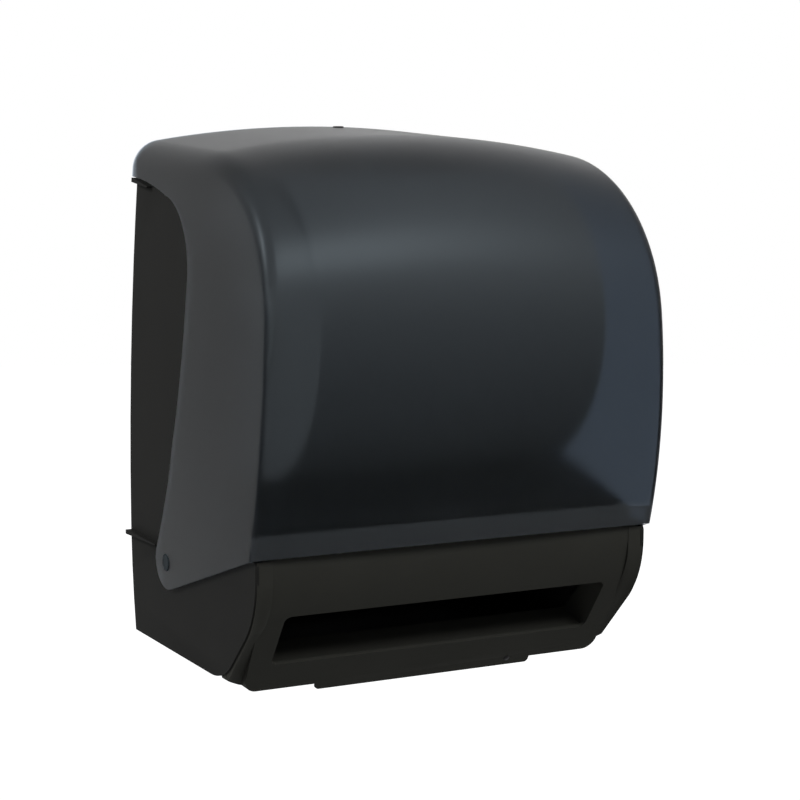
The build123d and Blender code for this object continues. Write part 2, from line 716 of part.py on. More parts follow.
    # Bosses and bores for the cover's pins, and holes for the deck's screws
    for side in (1, -1):
        add(rod(side * (PIN_INNER + 1), side * PIN_BOSS_FACE, PIVOT_Y, PIVOT_Z, HINGE_BOSS_R))
    add(rod(-HALF_WIDTH, HALF_WIDTH, PIVOT_Y, PIVOT_Z, HINGE_PIN_R + RUNNING), mode=Mode.SUBTRACT)
    with BuildSketch(Plane.XY.offset(DECK_REAR_Z)):
        with Locations(*[(side * DECK_SCREW_X, DECK_SCREW_Y) for side in (1, -1)]):
            Circle(SCREW_R)
    extrude(amount=-SCREW_LENGTH, mode=Mode.SUBTRACT)
save(chassis.part, "chassis")


def nose_outline(inset, behind):
    """Corners of the nose's front and bottom, moved inwards, running on behind it."""
    corners = [
        (NOSE_FRONT_Y, NOSE_TOP_Z, 1, 0),
        (NOSE_FRONT_Y + 0.7, (NOSE_TOP_Z + EXIT_TOP_Z) / 2, 1, 0.08),
        (EXIT_TOP_Y, EXIT_TOP_Z, 0.93, 0.4),
        (EXIT_LOW_Y, EXIT_LOW_Z, 0.83, 0.55),
        (LIP_Y, LIP_Z, 0.56, 1),
        (NOSE_REAR_Y + behind, LIP_Z, 0, 1),
    ]
    return [(y + inset * dy, z + inset * dz) for y, z, dy, dz in corners]


def nose_block(inset, behind):
    """Solid form of the nose: its side outline, narrowed downwards as seen from the front."""
    a, b, c, d, e, f = nose_outline(inset, behind)
    top = a[1] - inset
    with BuildPart() as block:
        with BuildSketch(Plane.YZ):
            with BuildLine():
                ThreePointArc((a[0], top), b, c)
                Polyline(c, d, e, f, (NOSE_REAR_Y + behind, BODY_BOTTOM - SEAT_GAP))
                Polyline(
                    (NOSE_REAR_Y + behind, BODY_BOTTOM - SEAT_GAP),
                    (NOSE_MID_Y + behind, NOSE_MID_Z),
                    (NOSE_BACK_TOP_Y + behind, top),
                    (a[0], top),
                )
            make_face()
        extrude(amount=NOSE_TOP_HALF + 5, both=True)
        with BuildSketch(Plane((0, 0, 0), x_dir=(1, 0, 0), z_dir=(0, -1, 0))) as front:
            wide, narrow = NOSE_TOP_HALF - inset, NOSE_BOTTOM_HALF - inset
            with BuildLine():
                Polyline((wide, NOSE_TOP_Z), (-wide, NOSE_TOP_Z), (-narrow, e[1]), (narrow, e[1]), close=True)
            make_face()
            fillet(front.vertices().group_by(Axis.Y)[0], radius=NOSE_CORNER_R - inset)
        extrude(amount=DEPTH, mode=Mode.INTERSECT)
    return block.part


# Nose: the hollow front below the cover, with the towel exit and its duct
NOSE_CAVITY = nose_block(NOSE_WALL, 25)
face_dy, face_dz = EXIT_LOW_Y - EXIT_TOP_Y, EXIT_LOW_Z - EXIT_TOP_Z
exit_plane = Plane(
    ((0, (EXIT_TOP_Y + EXIT_LOW_Y) / 2, (EXIT_TOP_Z + EXIT_LOW_Z) / 2)),
    x_dir=(1, 0, 0),
    z_dir=(0, face_dz, -face_dy),
)
lip_length = hypot(LIP_Y - EXIT_LOW_Y, LIP_Z - EXIT_LOW_Z)
lip_dy, lip_dz = (LIP_Y - EXIT_LOW_Y) / lip_length, (LIP_Z - EXIT_LOW_Z) / lip_length
sensor_plane = Plane(
    (SENSOR_X, LIP_Y - SENSOR_UP * lip_dy, LIP_Z - SENSOR_UP * lip_dz),
    x_dir=(1, 0, 0),
    z_dir=(0, lip_dz, -lip_dy),
)
with BuildPart() as nose_fascia:
    add(nose_block(0, 0))
    add(NOSE_CAVITY, mode=Mode.SUBTRACT)
    # Duct behind the exit: ceiling, rising floor and side walls
    with BuildPart(mode=Mode.PRIVATE) as duct:
        rise = tan(radians(SHELF_RISE))
        shelf_y = EXIT_LOW_Y + SHELF_LENGTH
        shelf_z = EXIT_LOW_Z + SHELF_LENGTH * rise
        with BuildSketch(Plane.YZ):
            with BuildLine():
                Polyline(
                    (EXIT_TOP_Y - 2, EXIT_TOP_Z + DUCT_WALL),
                    (EXIT_TOP_Y + CEILING_LENGTH, EXIT_TOP_Z + DUCT_WALL),
                    (shelf_y, shelf_z),
                    (shelf_y, shelf_z - DUCT_WALL),
                    (EXIT_LOW_Y - 2, EXIT_LOW_Z - DUCT_WALL - 2 * rise),
                    close=True,
                )
            make_face()
        extrude(amount=END_PLATE_X, both=True)
        with BuildSketch(Plane.YZ):
            with BuildLine():
                Polyline(
                    (EXIT_TOP_Y - 14, EXIT_TOP_Z),
                    (shelf_y + 9, EXIT_TOP_Z),
                    (shelf_y + 9, shelf_z + 9 * rise),
                    (EXIT_LOW_Y, EXIT_LOW_Z),
                    (EXIT_TOP_Y - 14, EXIT_LOW_Z),
                    close=True,
                )
            make_face()
        extrude(amount=EXIT_HALF, both=True, mode=Mode.SUBTRACT)
        add(nose_block(NOSE_WALL / 2, 25), mode=Mode.INTERSECT)
    add(duct.part)
    # Tab at the middle of the lower edge
    with BuildPart(mode=Mode.PRIVATE) as tab:
        reach = TAB_DROP / -lip_dz
        with BuildSketch(Plane.YZ):
            with BuildLine():
                Polyline(
                    (LIP_Y, LIP_Z),
                    (LIP_Y + reach * lip_dy, LIP_Z + reach * lip_dz),
                    (LIP_Y + reach * lip_dy + NOSE_WALL, LIP_Z + reach * lip_dz),
                    (LIP_Y + NOSE_WALL + 1, LIP_Z + NOSE_WALL / 2),
                    (LIP_Y + 1, LIP_Z + NOSE_WALL / 2),
                    close=True,
                )
            make_face()
        extrude(amount=TAB_HALF, both=True)
        with BuildSketch(Plane((0, 0, 0), x_dir=(1, 0, 0), z_dir=(0, -1, 0))):
            with Locations((0, LIP_Z)):
                RectangleRounded(2 * TAB_HALF, 2 * TAB_DROP, TAB_CORNER)
        extrude(amount=DEPTH, mode=Mode.INTERSECT)
    add(tab.part)
    # Exit and sensor holes
    with BuildSketch(exit_plane.offset(-NOSE_WALL - 1)):
        RectangleRounded(2 * EXIT_HALF, hypot(face_dy, face_dz), EXIT_CORNER_R)
    extrude(amount=NOSE_WALL + 6, mode=Mode.SUBTRACT)
    with BuildSketch(sensor_plane.offset(-SENSOR_DEPTH)):
        Circle(SENSOR_R)
    extrude(amount=SENSOR_DEPTH + 3, mode=Mode.SUBTRACT)
save(nose_fascia.part, "nose_fascia")

# Sensor lens under the exit
with BuildPart() as sensor_lens:
    with BuildSketch(sensor_plane.offset(-SENSOR_DEPTH)):
        Circle(SENSOR_R)
    extrude(amount=SENSOR_DEPTH + 0.4)
    chamfer(sensor_lens.edges().filter_by(GeomType.CIRCLE).sort_by(Axis.Z)[0], length=0.35)
save(sensor_lens.part, "sensor_lens")

# Tear bar: a toothed steel strip under the duct's ceiling
with BuildPart() as tear_bar:
    with BuildSketch(Plane.XY.offset(EXIT_TOP_Z - TEAR_THICK)):
        with BuildLine():
            start = -TEAR_PITCH * TEAR_COUNT / 2
            points = [(start, TEAR_FRONT_Y), (start, TEAR_REAR_Y)]
            for tooth in range(TEAR_COUNT):
                points.append((start + (tooth + 0.5) * TEAR_PITCH, TEAR_REAR_Y + TEAR_TOOTH))
                points.append((start + (tooth + 1) * TEAR_PITCH, TEAR_REAR_Y))
            points.append((-start, TEAR_FRONT_Y))
            Polyline(*points, close=True)
        make_face()
    extrude(amount=TEAR_THICK)
save(tear_bar.part, "tear_bar")


def deck_top(y):
    """Height of the deck's upper face: level at the back, sloping to the front."""
    share = max(DECK_BEND_Y - y, 0) / (DECK_BEND_Y - DECK_FRONT_Y)
    return DECK_REAR_Z + share * (DECK_FRONT_Z - DECK_REAR_Z)


def deck_band(low, high):
    """Side outline that follows the deck, between two heights above its upper face."""
    ends = [-BACK_PLATE - DECK_GAP, DECK_BEND_Y, DECK_FRONT_Y]
    upper = [(y, deck_top(y) + high) for y in ends]
    lower = [(y, deck_top(y) + low) for y in reversed(ends)]
    with BuildSketch() as band:
        with BuildLine():
            Polyline(*upper, *lower, close=True)
        make_face()
    return band.sketch


# Deck between the roll and the mechanism
BOARD_CORNERS = [
    (BOARD_X + x * (BOARD_WIDTH / 2 - 4), BOARD_Y + y * (BOARD_LENGTH / 2 - 4))
    for x in (1, -1)
    for y in (1, -1)
]
DECK_SCREWS = [(side * DECK_SCREW_X, DECK_SCREW_Y) for side in (1, -1)]
DECK_SCREWS += [(side * PLATE_BOSS_X, PLATE_BOSS_Y) for side in (1, -1)]
with BuildPart() as deck:
    with BuildSketch(Plane.YZ):
        add(deck_band(-DECK, 0))
    extrude(amount=2 * HALF_WIDTH, both=True)
    with BuildPart(mode=Mode.PRIVATE) as rims:
        with BuildSketch(Plane.YZ):
            add(deck_band(-DECK / 2, DECK_RIM))
        extrude(amount=2 * HALF_WIDTH, both=True)
        add(side_block(CHASSIS_WALL + DECK_GAP + 2, -DEPTH - 5, 20), mode=Mode.SUBTRACT)
    add(rims.part)
    add(side_block(CHASSIS_WALL + DECK_GAP, -DEPTH), mode=Mode.INTERSECT)
    # Throat that the towel runs down through, and the battery opening
    with BuildSketch(Plane.XY.offset(DECK_FRONT_Z - 10)):
        with Locations((0, (THROAT_FRONT_Y + THROAT_BACK_Y) / 2)):
            RectangleRounded(2 * THROAT_HALF, THROAT_BACK_Y - THROAT_FRONT_Y, 3)
    extrude(amount=40, mode=Mode.SUBTRACT)
    with BuildSketch(Plane.XY.offset(DECK_REAR_Z - 10)):
        with Locations((0, (DOOR_HOLE_REAR_Y + DOOR_FRONT_Y) / 2)):
            Rectangle(2 * DOOR_HALF, DOOR_HOLE_REAR_Y - DOOR_FRONT_Y)
    extrude(amount=20, mode=Mode.SUBTRACT)
    # Bearing blocks for the battery door's pins
    with BuildSketch(Plane.XY.offset(DECK_REAR_Z - DECK)):
        with Locations(*[(side * (DOOR_HALF + 3), DOOR_HINGE_Y) for side in (1, -1)]):
            Rectangle(6, 6)
    extrude(amount=DECK + DOOR_KNUCKLE_R + 0.8)
    add(rod(-DOOR_PIN_X, DOOR_PIN_X, DOOR_HINGE_Y, DECK_REAR_Z, DOOR_PIN_R + RUNNING), mode=Mode.SUBTRACT)
    # Pillars that carry the circuit board
    for x, y in BOARD_CORNERS:
        with BuildSketch(Plane.XY.offset(BOARD_Z + BOARD)):
            with Locations((x, y)):
                Circle(3)
        extrude(amount=deck_top(y) - 1.6 - BOARD_Z - BOARD)
    # Screw holes with flat seats
    for x, y in DECK_SCREWS:
        with BuildSketch(Plane.XY.offset(deck_top(y) - SCREW_SINK)):
            with Locations((x, y)):
                Circle(SCREW_HEAD_R + SEAT_GAP)
        extrude(amount=8, mode=Mode.SUBTRACT)
        with BuildSketch(Plane.XY.offset(deck_top(y) - 6)):
            with Locations((x, y)):
                Circle(SCREW_R)
        extrude(amount=8, mode=Mode.SUBTRACT)
save(deck.part, "deck")

with BuildPart() as deck_screws:
    for x, y in DECK_SCREWS:
        seat = deck_top(y) - SCREW_SINK
        with BuildSketch(Plane.XY.offset(seat)):
            with Locations((x, y)):
                Circle(SCREW_HEAD_R)
        extrude(amount=SCREW_HEAD)
        with BuildSketch(Plane.XY.offset(seat)):
            with Locations((x, y)):
                Circle(SCREW_R)
        extrude(amount=-SCREW_LENGTH + 1.5)
        with BuildSketch(Plane.XY.offset(seat + SCREW_HEAD)):
            with Locations((x, y)):
                Rectangle(2 * SCREW_HEAD_R, SCREW_SLOT)
        extrude(amount=-SCREW_SLOT_DEPTH, mode=Mode.SUBTRACT)
save(deck_screws.part, "deck_screws")

# Battery compartment: tray, cells, contacts and door
CELL_PITCH = CELL_LENGTH + CELL_GAP
TRAY_HALF = CELL_COUNT * CELL_PITCH / 2 + CONTACT
tray_inner = 2 * (CELL_R + 0.4)
tray_top = DECK_REAR_Z - DECK
with BuildPart() as battery_tray:
    with BuildSketch(Plane.YZ) as tray_outline:
        depth = tray_top - CELL_Z + CELL_R + TRAY_WALL
        with Locations((CELL_Y, tray_top - depth / 2)):
            Rectangle(tray_inner + 2 * TRAY_WALL, depth)
        fillet(tray_outline.vertices().group_by(Axis.Y)[0], radius=TRAY_CORNER)
    extrude(amount=TRAY_HALF + TRAY_WALL, both=True)
    with BuildSketch(Plane.XY.offset(tray_top)):
        with Locations((0, (TRAY_FLANGE_FRONT_Y + TRAY_FLANGE_REAR_Y) / 2)):
            Rectangle(2 * TRAY_FLANGE_HALF, TRAY_FLANGE_REAR_Y - TRAY_FLANGE_FRONT_Y)
    extrude(amount=-TRAY_WALL)
    with BuildSketch(Plane.YZ) as tray_hollow:
        with Locations((CELL_Y, tray_top - (depth - TRAY_WALL) / 2)):
            Rectangle(tray_inner, depth - TRAY_WALL)
        fillet(tray_hollow.vertices().group_by(Axis.Y)[0], radius=TRAY_CORNER - TRAY_WALL)
    extrude(amount=TRAY_HALF, both=True, mode=Mode.SUBTRACT)
save(battery_tray.part, "battery_tray")

with BuildPart() as battery_cells:
    for cell in range(CELL_COUNT):
        start = (cell - CELL_COUNT / 2) * CELL_PITCH
        can = start + CELL_LENGTH - CELL_NUB
        add(rod(start, can, CELL_Y, CELL_Z, CELL_R))
        add(rod(can, start + CELL_LENGTH, CELL_Y, CELL_Z, CELL_NUB_R))
save(battery_cells.part, "battery_cells")

with BuildPart() as battery_contacts:
    for side in (1, -1):
        ends = (side * (TRAY_HALF - CONTACT), side * (TRAY_HALF - CONTACT / 2))
        add(rod(*ends, CELL_Y, CELL_Z, 5))
        ends = (side * (TRAY_HALF - CONTACT / 2), side * TRAY_HALF)
        add(rod(*ends, CELL_Y, CELL_Z, 9))
save(battery_contacts.part, "battery_contacts")

with BuildPart() as battery_door:
    with BuildSketch(Plane.XY.offset(DECK_REAR_Z - DOOR)):
        with Locations((0, (DOOR_FRONT_Y + DOOR_GAP + DOOR_REAR_Y) / 2)):
            Rectangle(2 * (DOOR_HALF - DOOR_GAP), DOOR_REAR_Y - DOOR_FRONT_Y - DOOR_GAP)
    extrude(amount=DOOR)
    # Knuckles at the back corners, on pins in the deck's blocks
    for side in (1, -1):
        with BuildSketch(Plane.YZ.offset(side * (DOOR_HALF - DOOR_GAP))) as knuckle:
            with Locations((DOOR_HINGE_Y, DECK_REAR_Z)):
                Circle(DOOR_KNUCKLE_R)
            with Locations(((DOOR_HINGE_Y + DOOR_REAR_Y) / 2 - 1, DECK_REAR_Z - DOOR / 2)):
                Rectangle(DOOR_HINGE_Y - DOOR_REAR_Y + 2, DOOR)
        extrude(amount=-side * 6)
        inner = side * (DOOR_HALF - DOOR_GAP - 3)
        add(rod(inner, side * (DOOR_PIN_X - SEAT_GAP), DOOR_HINGE_Y, DECK_REAR_Z, DOOR_PIN_R))
    # Finger ridge along the front
    with BuildSketch(Plane.XY.offset(DECK_REAR_Z)):
        with Locations((0, DOOR_FRONT_Y + 5)):
            RectangleRounded(44, 4, 1.5)
    extrude(amount=3)
save(battery_door.part, "battery_door")

# End plates that carry the rollers and the gears
with BuildPart() as plain_plate:
    with BuildSketch(Plane.YZ.offset(END_PLATE_X)) as plate_outline:
        with BuildLine():
            Polyline(
                (PLATE_REAR_Y, BODY_BOTTOM + CHASSIS_WALL),
                (PLATE_TOE_Y, BODY_BOTTOM + CHASSIS_WALL),
                (PLATE_FRONT_Y, PLATE_FRONT_Z),
                (PLATE_FRONT_Y, deck_top(PLATE_FRONT_Y) - DECK),
                (DECK_BEND_Y, DECK_REAR_Z - DECK),
                (PLATE_REAR_Y, DECK_REAR_Z - DECK),
                close=True,
            )
        make_face()
    extrude(amount=END_PLATE)
    with BuildSketch(Plane.YZ.offset(END_PLATE_X)):
        y0, y1 = PLATE_BOSS_Y - PLATE_BOSS / 2, PLATE_BOSS_Y + PLATE_BOSS / 2
        with BuildLine():
            Polyline(
                (y0, deck_top(y0) - DECK),
                (y1, deck_top(y1) - DECK),
                (y1, deck_top(y1) - DECK - 12),
                (y0, deck_top(y1) - DECK - 12),
                close=True,
            )
        make_face()
    extrude(amount=PLATE_BOSS)
    add(rod(0, HALF_WIDTH, DRIVE_Y, DRIVE_Z, BUSH_R), mode=Mode.SUBTRACT)
    add(rod(0, HALF_WIDTH, PINCH_Y, PINCH_Z, BUSH_R), mode=Mode.SUBTRACT)
    with BuildSketch(Plane.XY.offset(DECK_REAR_Z)):
        with Locations((PLATE_BOSS_X, PLATE_BOSS_Y)):
            Circle(SCREW_R)
    extrude(amount=deck_top(PLATE_BOSS_Y) - SCREW_SINK - SCREW_LENGTH - DECK_REAR_Z, mode=Mode.SUBTRACT)
with BuildPart() as end_plate_left:
    add(mirror(plain_plate.part, about=Plane.YZ, mode=Mode.PRIVATE))
save(end_plate_left.part, "end_plate_left")

# The right plate also carries the gear train: pillars, and holes for motor and idler
with BuildPart() as end_plate_right:
    add(plain_plate.part)
    for y, z in GEAR_SCREWS:
        add(rod(END_PLATE_X + END_PLATE, GEARBOX_X, y, z, PILLAR_R))
        add(rod(GEARBOX_X - SCREW_DEPTH, GEARBOX_X, y, z, SCREW_R), mode=Mode.SUBTRACT)
    add(rod(0, HALF_WIDTH, PINION_Y, PINION_Z, MOTOR_BOSS_R), mode=Mode.SUBTRACT)
    add(rod(0, END_PLATE_X + END_PLATE, IDLER_Y, IDLER_Z, IDLER_PIN_R), mode=Mode.SUBTRACT)
save(end_plate_right.part, "end_plate_right")

with BuildPart() as gearbox_cover:
    with BuildSketch(Plane.YZ.offset(GEARBOX_X)):
        with Locations(*GEAR_SCREWS):
            Circle(PILLAR_R + 2)
        make_hull()
        with Locations(*GEAR_SCREWS):
            Circle(SCREW_R, mode=Mode.SUBTRACT)
        with Locations((IDLER_Y, IDLER_Z)):
            Circle(IDLER_PIN_R, mode=Mode.SUBTRACT)
    extrude(amount=GEARBOX)
save(gearbox_cover.part, "gearbox_cover")

with BuildPart() as gearbox_screws:
    outer = GEARBOX_X + GEARBOX
    for y, z in GEAR_SCREWS:
        add(rod(outer, outer + SCREW_HEAD, y, z, SCREW_HEAD_R))
        add(rod(GEARBOX_X - SCREW_DEPTH + 0.5, outer, y, z, SCREW_R))
        with BuildSketch(Plane.YZ.offset(outer + SCREW_HEAD)):
            with Locations((y, z)):
                Rectangle(2 * SCREW_HEAD_R, SCREW_SLOT)
        extrude(amount=-SCREW_SLOT_DEPTH, mode=Mode.SUBTRACT)
save(gearbox_screws.part, "gearbox_screws")

# Bushes, pressed into the end plates
with BuildPart() as drive_bushes:
    for side in (1, -1):
        add(rod(side * END_PLATE_X, side * (END_PLATE_X + END_PLATE), DRIVE_Y, DRIVE_Z, BUSH_R))
        add(rod(side * (END_PLATE_X - BUSH_FLANGE), side * END_PLATE_X, DRIVE_Y, DRIVE_Z, BUSH_R + 1.5))
    add(rod(-HALF_WIDTH, HALF_WIDTH, DRIVE_Y, DRIVE_Z, DRIVE_SHAFT_R + RUNNING), mode=Mode.SUBTRACT)
save(drive_bushes.part, "drive_bushes")

with BuildPart() as pinch_bushes:
    for side in (1, -1):
        add(rod(side * END_PLATE_X, side * (END_PLATE_X + END_PLATE), PINCH_Y, PINCH_Z, BUSH_R))
        add(rod(side * (END_PLATE_X - BUSH_FLANGE), side * END_PLATE_X, PINCH_Y, PINCH_Z, BUSH_R + 1.5))
    add(rod(-HALF_WIDTH, HALF_WIDTH, PINCH_Y, PINCH_Z, PINCH_SHAFT_R + RUNNING), mode=Mode.SUBTRACT)
save(pinch_bushes.part, "pinch_bushes")

# Drive roller: steel shaft, plastic core, rubber sleeves and its gear
with BuildPart() as drive_shaft:
    add(rod(-END_PLATE_X - END_PLATE - 3, DRIVE_SHAFT_END, DRIVE_Y, DRIVE_Z, DRIVE_SHAFT_R))
    chamfer(drive_shaft.edges().filter_by(GeomType.CIRCLE), length=0.4)
save(drive_shaft.part, "drive_shaft")

with BuildPart() as drive_core:
    add(rod(-CORE_HALF, CORE_HALF, DRIVE_Y, DRIVE_Z, DRIVE_CORE_R))
    add(rod(-CORE_HALF, CORE_HALF, DRIVE_Y, DRIVE_Z, DRIVE_SHAFT_R), mode=Mode.SUBTRACT)
save(drive_core.part, "drive_core")

with BuildPart() as drive_sleeves:
    for sleeve in (-1.5, -0.5, 0.5, 1.5):
        middle = sleeve * SLEEVE_PITCH
        ends = (middle - SLEEVE_LENGTH / 2, middle + SLEEVE_LENGTH / 2)
        add(rod(*ends, DRIVE_Y, DRIVE_Z, DRIVE_R))
    chamfer(drive_sleeves.edges().filter_by(GeomType.CIRCLE), length=0.6)
    add(rod(-CORE_HALF, CORE_HALF, DRIVE_Y, DRIVE_Z, DRIVE_CORE_R), mode=Mode.SUBTRACT)
save(drive_sleeves.part, "drive_sleeves")

with BuildPart() as pinch_shaft:
    reach = END_PLATE_X + END_PLATE + 2
    add(rod(-reach, reach, PINCH_Y, PINCH_Z, PINCH_SHAFT_R))
    chamfer(pinch_shaft.edges().filter_by(GeomType.CIRCLE), length=0.4)
save(pinch_shaft.part, "pinch_shaft")

with BuildPart() as pinch_roller:
    add(rod(-CORE_HALF, CORE_HALF, PINCH_Y, PINCH_Z, PINCH_R))
    chamfer(pinch_roller.edges().filter_by(GeomType.CIRCLE), length=0.6)
    add(rod(-CORE_HALF, CORE_HALF, PINCH_Y, PINCH_Z, PINCH_SHAFT_R), mode=Mode.SUBTRACT)
save(pinch_roller.part, "pinch_roller")


def gear_face(teeth, bearing, centre, bore):
    """Spur gear outline: flanks on the true involute, one tooth pointing along the bearing."""
    pitch = GEAR_MODULE * teeth / 2
    base = pitch * cos(radians(PRESSURE_ANGLE))
    root, tip = pitch - 1.25 * GEAR_MODULE, pitch + GEAR_MODULE
    pressure = radians(PRESSURE_ANGLE)
    half = (pi * GEAR_MODULE / 2 - BACKLASH) / (2 * pitch) + tan(pressure) - pressure

    def flank(radius):
        lean = acos(min(base / radius, 1))
        return half - tan(lean) + lean

    radii = [root, (max(root, base) + tip) / 2, tip]
    if root < base:
        radii.insert(1, base)
    points = []
    for tooth in range(teeth):
        middle = radians(bearing) + 2 * pi * tooth / teeth
        sides = [(radius, middle - flank(max(radius, base))) for radius in radii]
        sides += [(radius, middle + flank(max(radius, base))) for radius in reversed(radii)]
        points += [(centre[0] + r * cos(a), centre[1] + r * sin(a)) for r, a in sides]
    with BuildSketch() as outline:
        with BuildLine():
            Polyline(*points, close=True)
        make_face()
        with Locations(centre):
            Circle(bore, mode=Mode.SUBTRACT)
    return outline.sketch


# Gears: each one's phase is set so that its teeth stand in the next one's gaps
with BuildPart() as drive_gear:
    with BuildSketch(Plane.YZ.offset(GEAR_X)):
        add(gear_face(DRIVE_TEETH, IDLER_BEARING, (DRIVE_Y, DRIVE_Z), DRIVE_SHAFT_R))
    extrude(amount=GEAR_THICK)
save(drive_gear.part, "drive_gear")

with BuildPart() as idler_gear:
    small = IDLER_BEARING + 180 + 180 / IDLER_SMALL_TEETH
    with BuildSketch(Plane.YZ.offset(GEAR_X)):
        add(gear_face(IDLER_SMALL_TEETH, small, (IDLER_Y, IDLER_Z), IDLER_BORE))
    extrude(amount=GEAR_THICK)
    with BuildSketch(Plane.YZ.offset(GEAR_X + GEAR_THICK)):
        with Locations((IDLER_Y, IDLER_Z)):
            Circle(IDLER_HUB_R)
            Circle(IDLER_BORE, mode=Mode.SUBTRACT)
    extrude(amount=GEAR_CLEAR)
    with BuildSketch(Plane.YZ.offset(GEAR_X + GEAR_THICK + GEAR_CLEAR)):
        add(gear_face(IDLER_LARGE_TEETH, PINION_BEARING, (IDLER_Y, IDLER_Z), IDLER_BORE))
    extrude(amount=GEAR_THICK)
save(idler_gear.part, "idler_gear")

with BuildPart() as motor_pinion:
    gap_bearing = PINION_BEARING + 180 + 180 / PINION_TEETH
    with BuildSketch(Plane.YZ.offset(GEAR_X + GEAR_THICK + GEAR_CLEAR)):
        add(gear_face(PINION_TEETH, gap_bearing, (PINION_Y, PINION_Z), MOTOR_SHAFT_R))
    extrude(amount=GEAR_THICK)
save(motor_pinion.part, "motor_pinion")

with BuildPart() as idler_pin:
    add(rod(END_PLATE_X, GEARBOX_X + GEARBOX, IDLER_Y, IDLER_Z, IDLER_PIN_R))
save(idler_pin.part, "idler_pin")

# Motor inside the right end plate
with BuildPart() as motor:
    add(rod(END_PLATE_X - MOTOR_LENGTH, END_PLATE_X, PINION_Y, PINION_Z, MOTOR_R))
    with BuildSketch(Plane.YZ.offset(END_PLATE_X - MOTOR_LENGTH - 1)):
        with Locations((PINION_Y, PINION_Z)):
            Circle(MOTOR_R + 1)
            Rectangle(2 * MOTOR_R + 4, 2 * MOTOR_FLAT, mode=Mode.SUBTRACT)
    extrude(amount=MOTOR_LENGTH + 2, mode=Mode.SUBTRACT)
    add(rod(END_PLATE_X - MOTOR_LENGTH - 2, END_PLATE_X - MOTOR_LENGTH, PINION_Y, PINION_Z, MOTOR_BOSS_R))
    add(rod(END_PLATE_X, END_PLATE_X + MOTOR_BOSS, PINION_Y, PINION_Z, MOTOR_BOSS_R))
    bore = MOTOR_SHAFT_R + RUNNING
    add(rod(MOTOR_SHAFT_START, HALF_WIDTH, PINION_Y, PINION_Z, bore), mode=Mode.SUBTRACT)
save(motor.part, "motor")

with BuildPart() as motor_shaft:
    end = GEAR_X + 2 * GEAR_THICK + GEAR_CLEAR
    add(rod(MOTOR_SHAFT_START + SEAT_GAP, end, PINION_Y, PINION_Z, MOTOR_SHAFT_R))
save(motor_shaft.part, "motor_shaft")

# Towel roll on its paper core
roll_half = ROLL_WIDTH / 2
with BuildPart() as towel_roll:
    add(rod(-roll_half, roll_half, ROLL_Y, ROLL_Z, ROLL_R))
    chamfer(towel_roll.edges().filter_by(GeomType.CIRCLE), length=0.8)
    add(rod(-roll_half, roll_half, ROLL_Y, ROLL_Z, CORE_R + CORE_WALL), mode=Mode.SUBTRACT)
save(towel_roll.part, "towel_roll")

with BuildPart() as roll_core:
    add(rod(-roll_half, roll_half, ROLL_Y, ROLL_Z, CORE_R + CORE_WALL))
    add(rod(-roll_half, roll_half, ROLL_Y, ROLL_Z, CORE_R), mode=Mode.SUBTRACT)
save(roll_core.part, "roll_core")

# Right arm: a ribbed plate that swings outwards on its pin, with a stub axle
AXLE_END = roll_half - HUB_DEPTH + HUB_BORE - CLIP - SEAT_GAP
with BuildPart() as arm_right:
    with BuildSketch(Plane.YZ.offset(ARM_FACE_X)) as arm_outline:
        with Locations((ROLL_Y, ROLL_Z)):
            Circle(ARM_EYE_R)
        with Locations((ARM_PIVOT_Y - ARM_BARREL_R / 2, ROLL_Z)):
            Rectangle(ARM_BARREL_R, ARM_ROOT_HEIGHT)
        make_hull()
    extrude(amount=ARM_RIM)
    with BuildSketch(Plane.YZ.offset(ARM_FACE_X + ARM_WEB)):
        add(arm_outline.sketch_local)
        offset(amount=-3)
    extrude(amount=ARM_RIM, mode=Mode.SUBTRACT)
    with Locations((ARM_X, ARM_PIVOT_Y, ROLL_Z)):
        Cylinder(ARM_BARREL_R, ARM_ROOT_HEIGHT)
        Cylinder(ARM_PIN_R + RUNNING, ARM_ROOT_HEIGHT + 2, mode=Mode.SUBTRACT)
    hub_face = roll_half + HUB_GAP + HUB_FLANGE
    add(rod(hub_face + SEAT_GAP, ARM_FACE_X + ARM_RIM, ROLL_Y, ROLL_Z, ARM_BOSS_R))
    add(rod(AXLE_END, hub_face + SEAT_GAP + 1, ROLL_Y, ROLL_Z, AXLE_R))
save(arm_right.part, "arm_right")

with BuildPart() as arm_left:
    add(mirror(arm_right.part, about=Plane.YZ, mode=Mode.PRIVATE))
save(arm_left.part, "arm_left")

with BuildPart() as hub_right:
    with BuildSketch(Plane((0, ROLL_Y, ROLL_Z), x_dir=(1, 0, 0), z_dir=(0, 0, 1))):
        base = roll_half + HUB_GAP
        tip = base - HUB_DEPTH - HUB_GAP
        with BuildLine():
            Polyline(
                (tip + HUB_BORE, AXLE_R + RUNNING),
                (base + HUB_FLANGE, AXLE_R + RUNNING),
                (base + HUB_FLANGE, HUB_FLANGE_R - 1),
                (base + HUB_FLANGE - 1, HUB_FLANGE_R),
                (base, HUB_FLANGE_R),
                (base, HUB_BASE_R),
                (tip, HUB_TIP_R),
                (tip, HUB_BORE_R),
                (tip + HUB_BORE, HUB_BORE_R),
                close=True,
            )
        make_face()
    revolve(axis=Axis((0, ROLL_Y, ROLL_Z), (1, 0, 0)))
save(hub_right.part, "hub_right")

with BuildPart() as hub_left:
    add(mirror(hub_right.part, about=Plane.YZ, mode=Mode.PRIVATE))
save(hub_left.part, "hub_left")

with BuildPart() as hub_clip_right:
    add(rod(AXLE_END, AXLE_END + CLIP, ROLL_Y, ROLL_Z, CLIP_R))
    add(rod(AXLE_END, AXLE_END + CLIP, ROLL_Y, ROLL_Z, AXLE_R), mode=Mode.SUBTRACT)
save(hub_clip_right.part, "hub_clip_right")

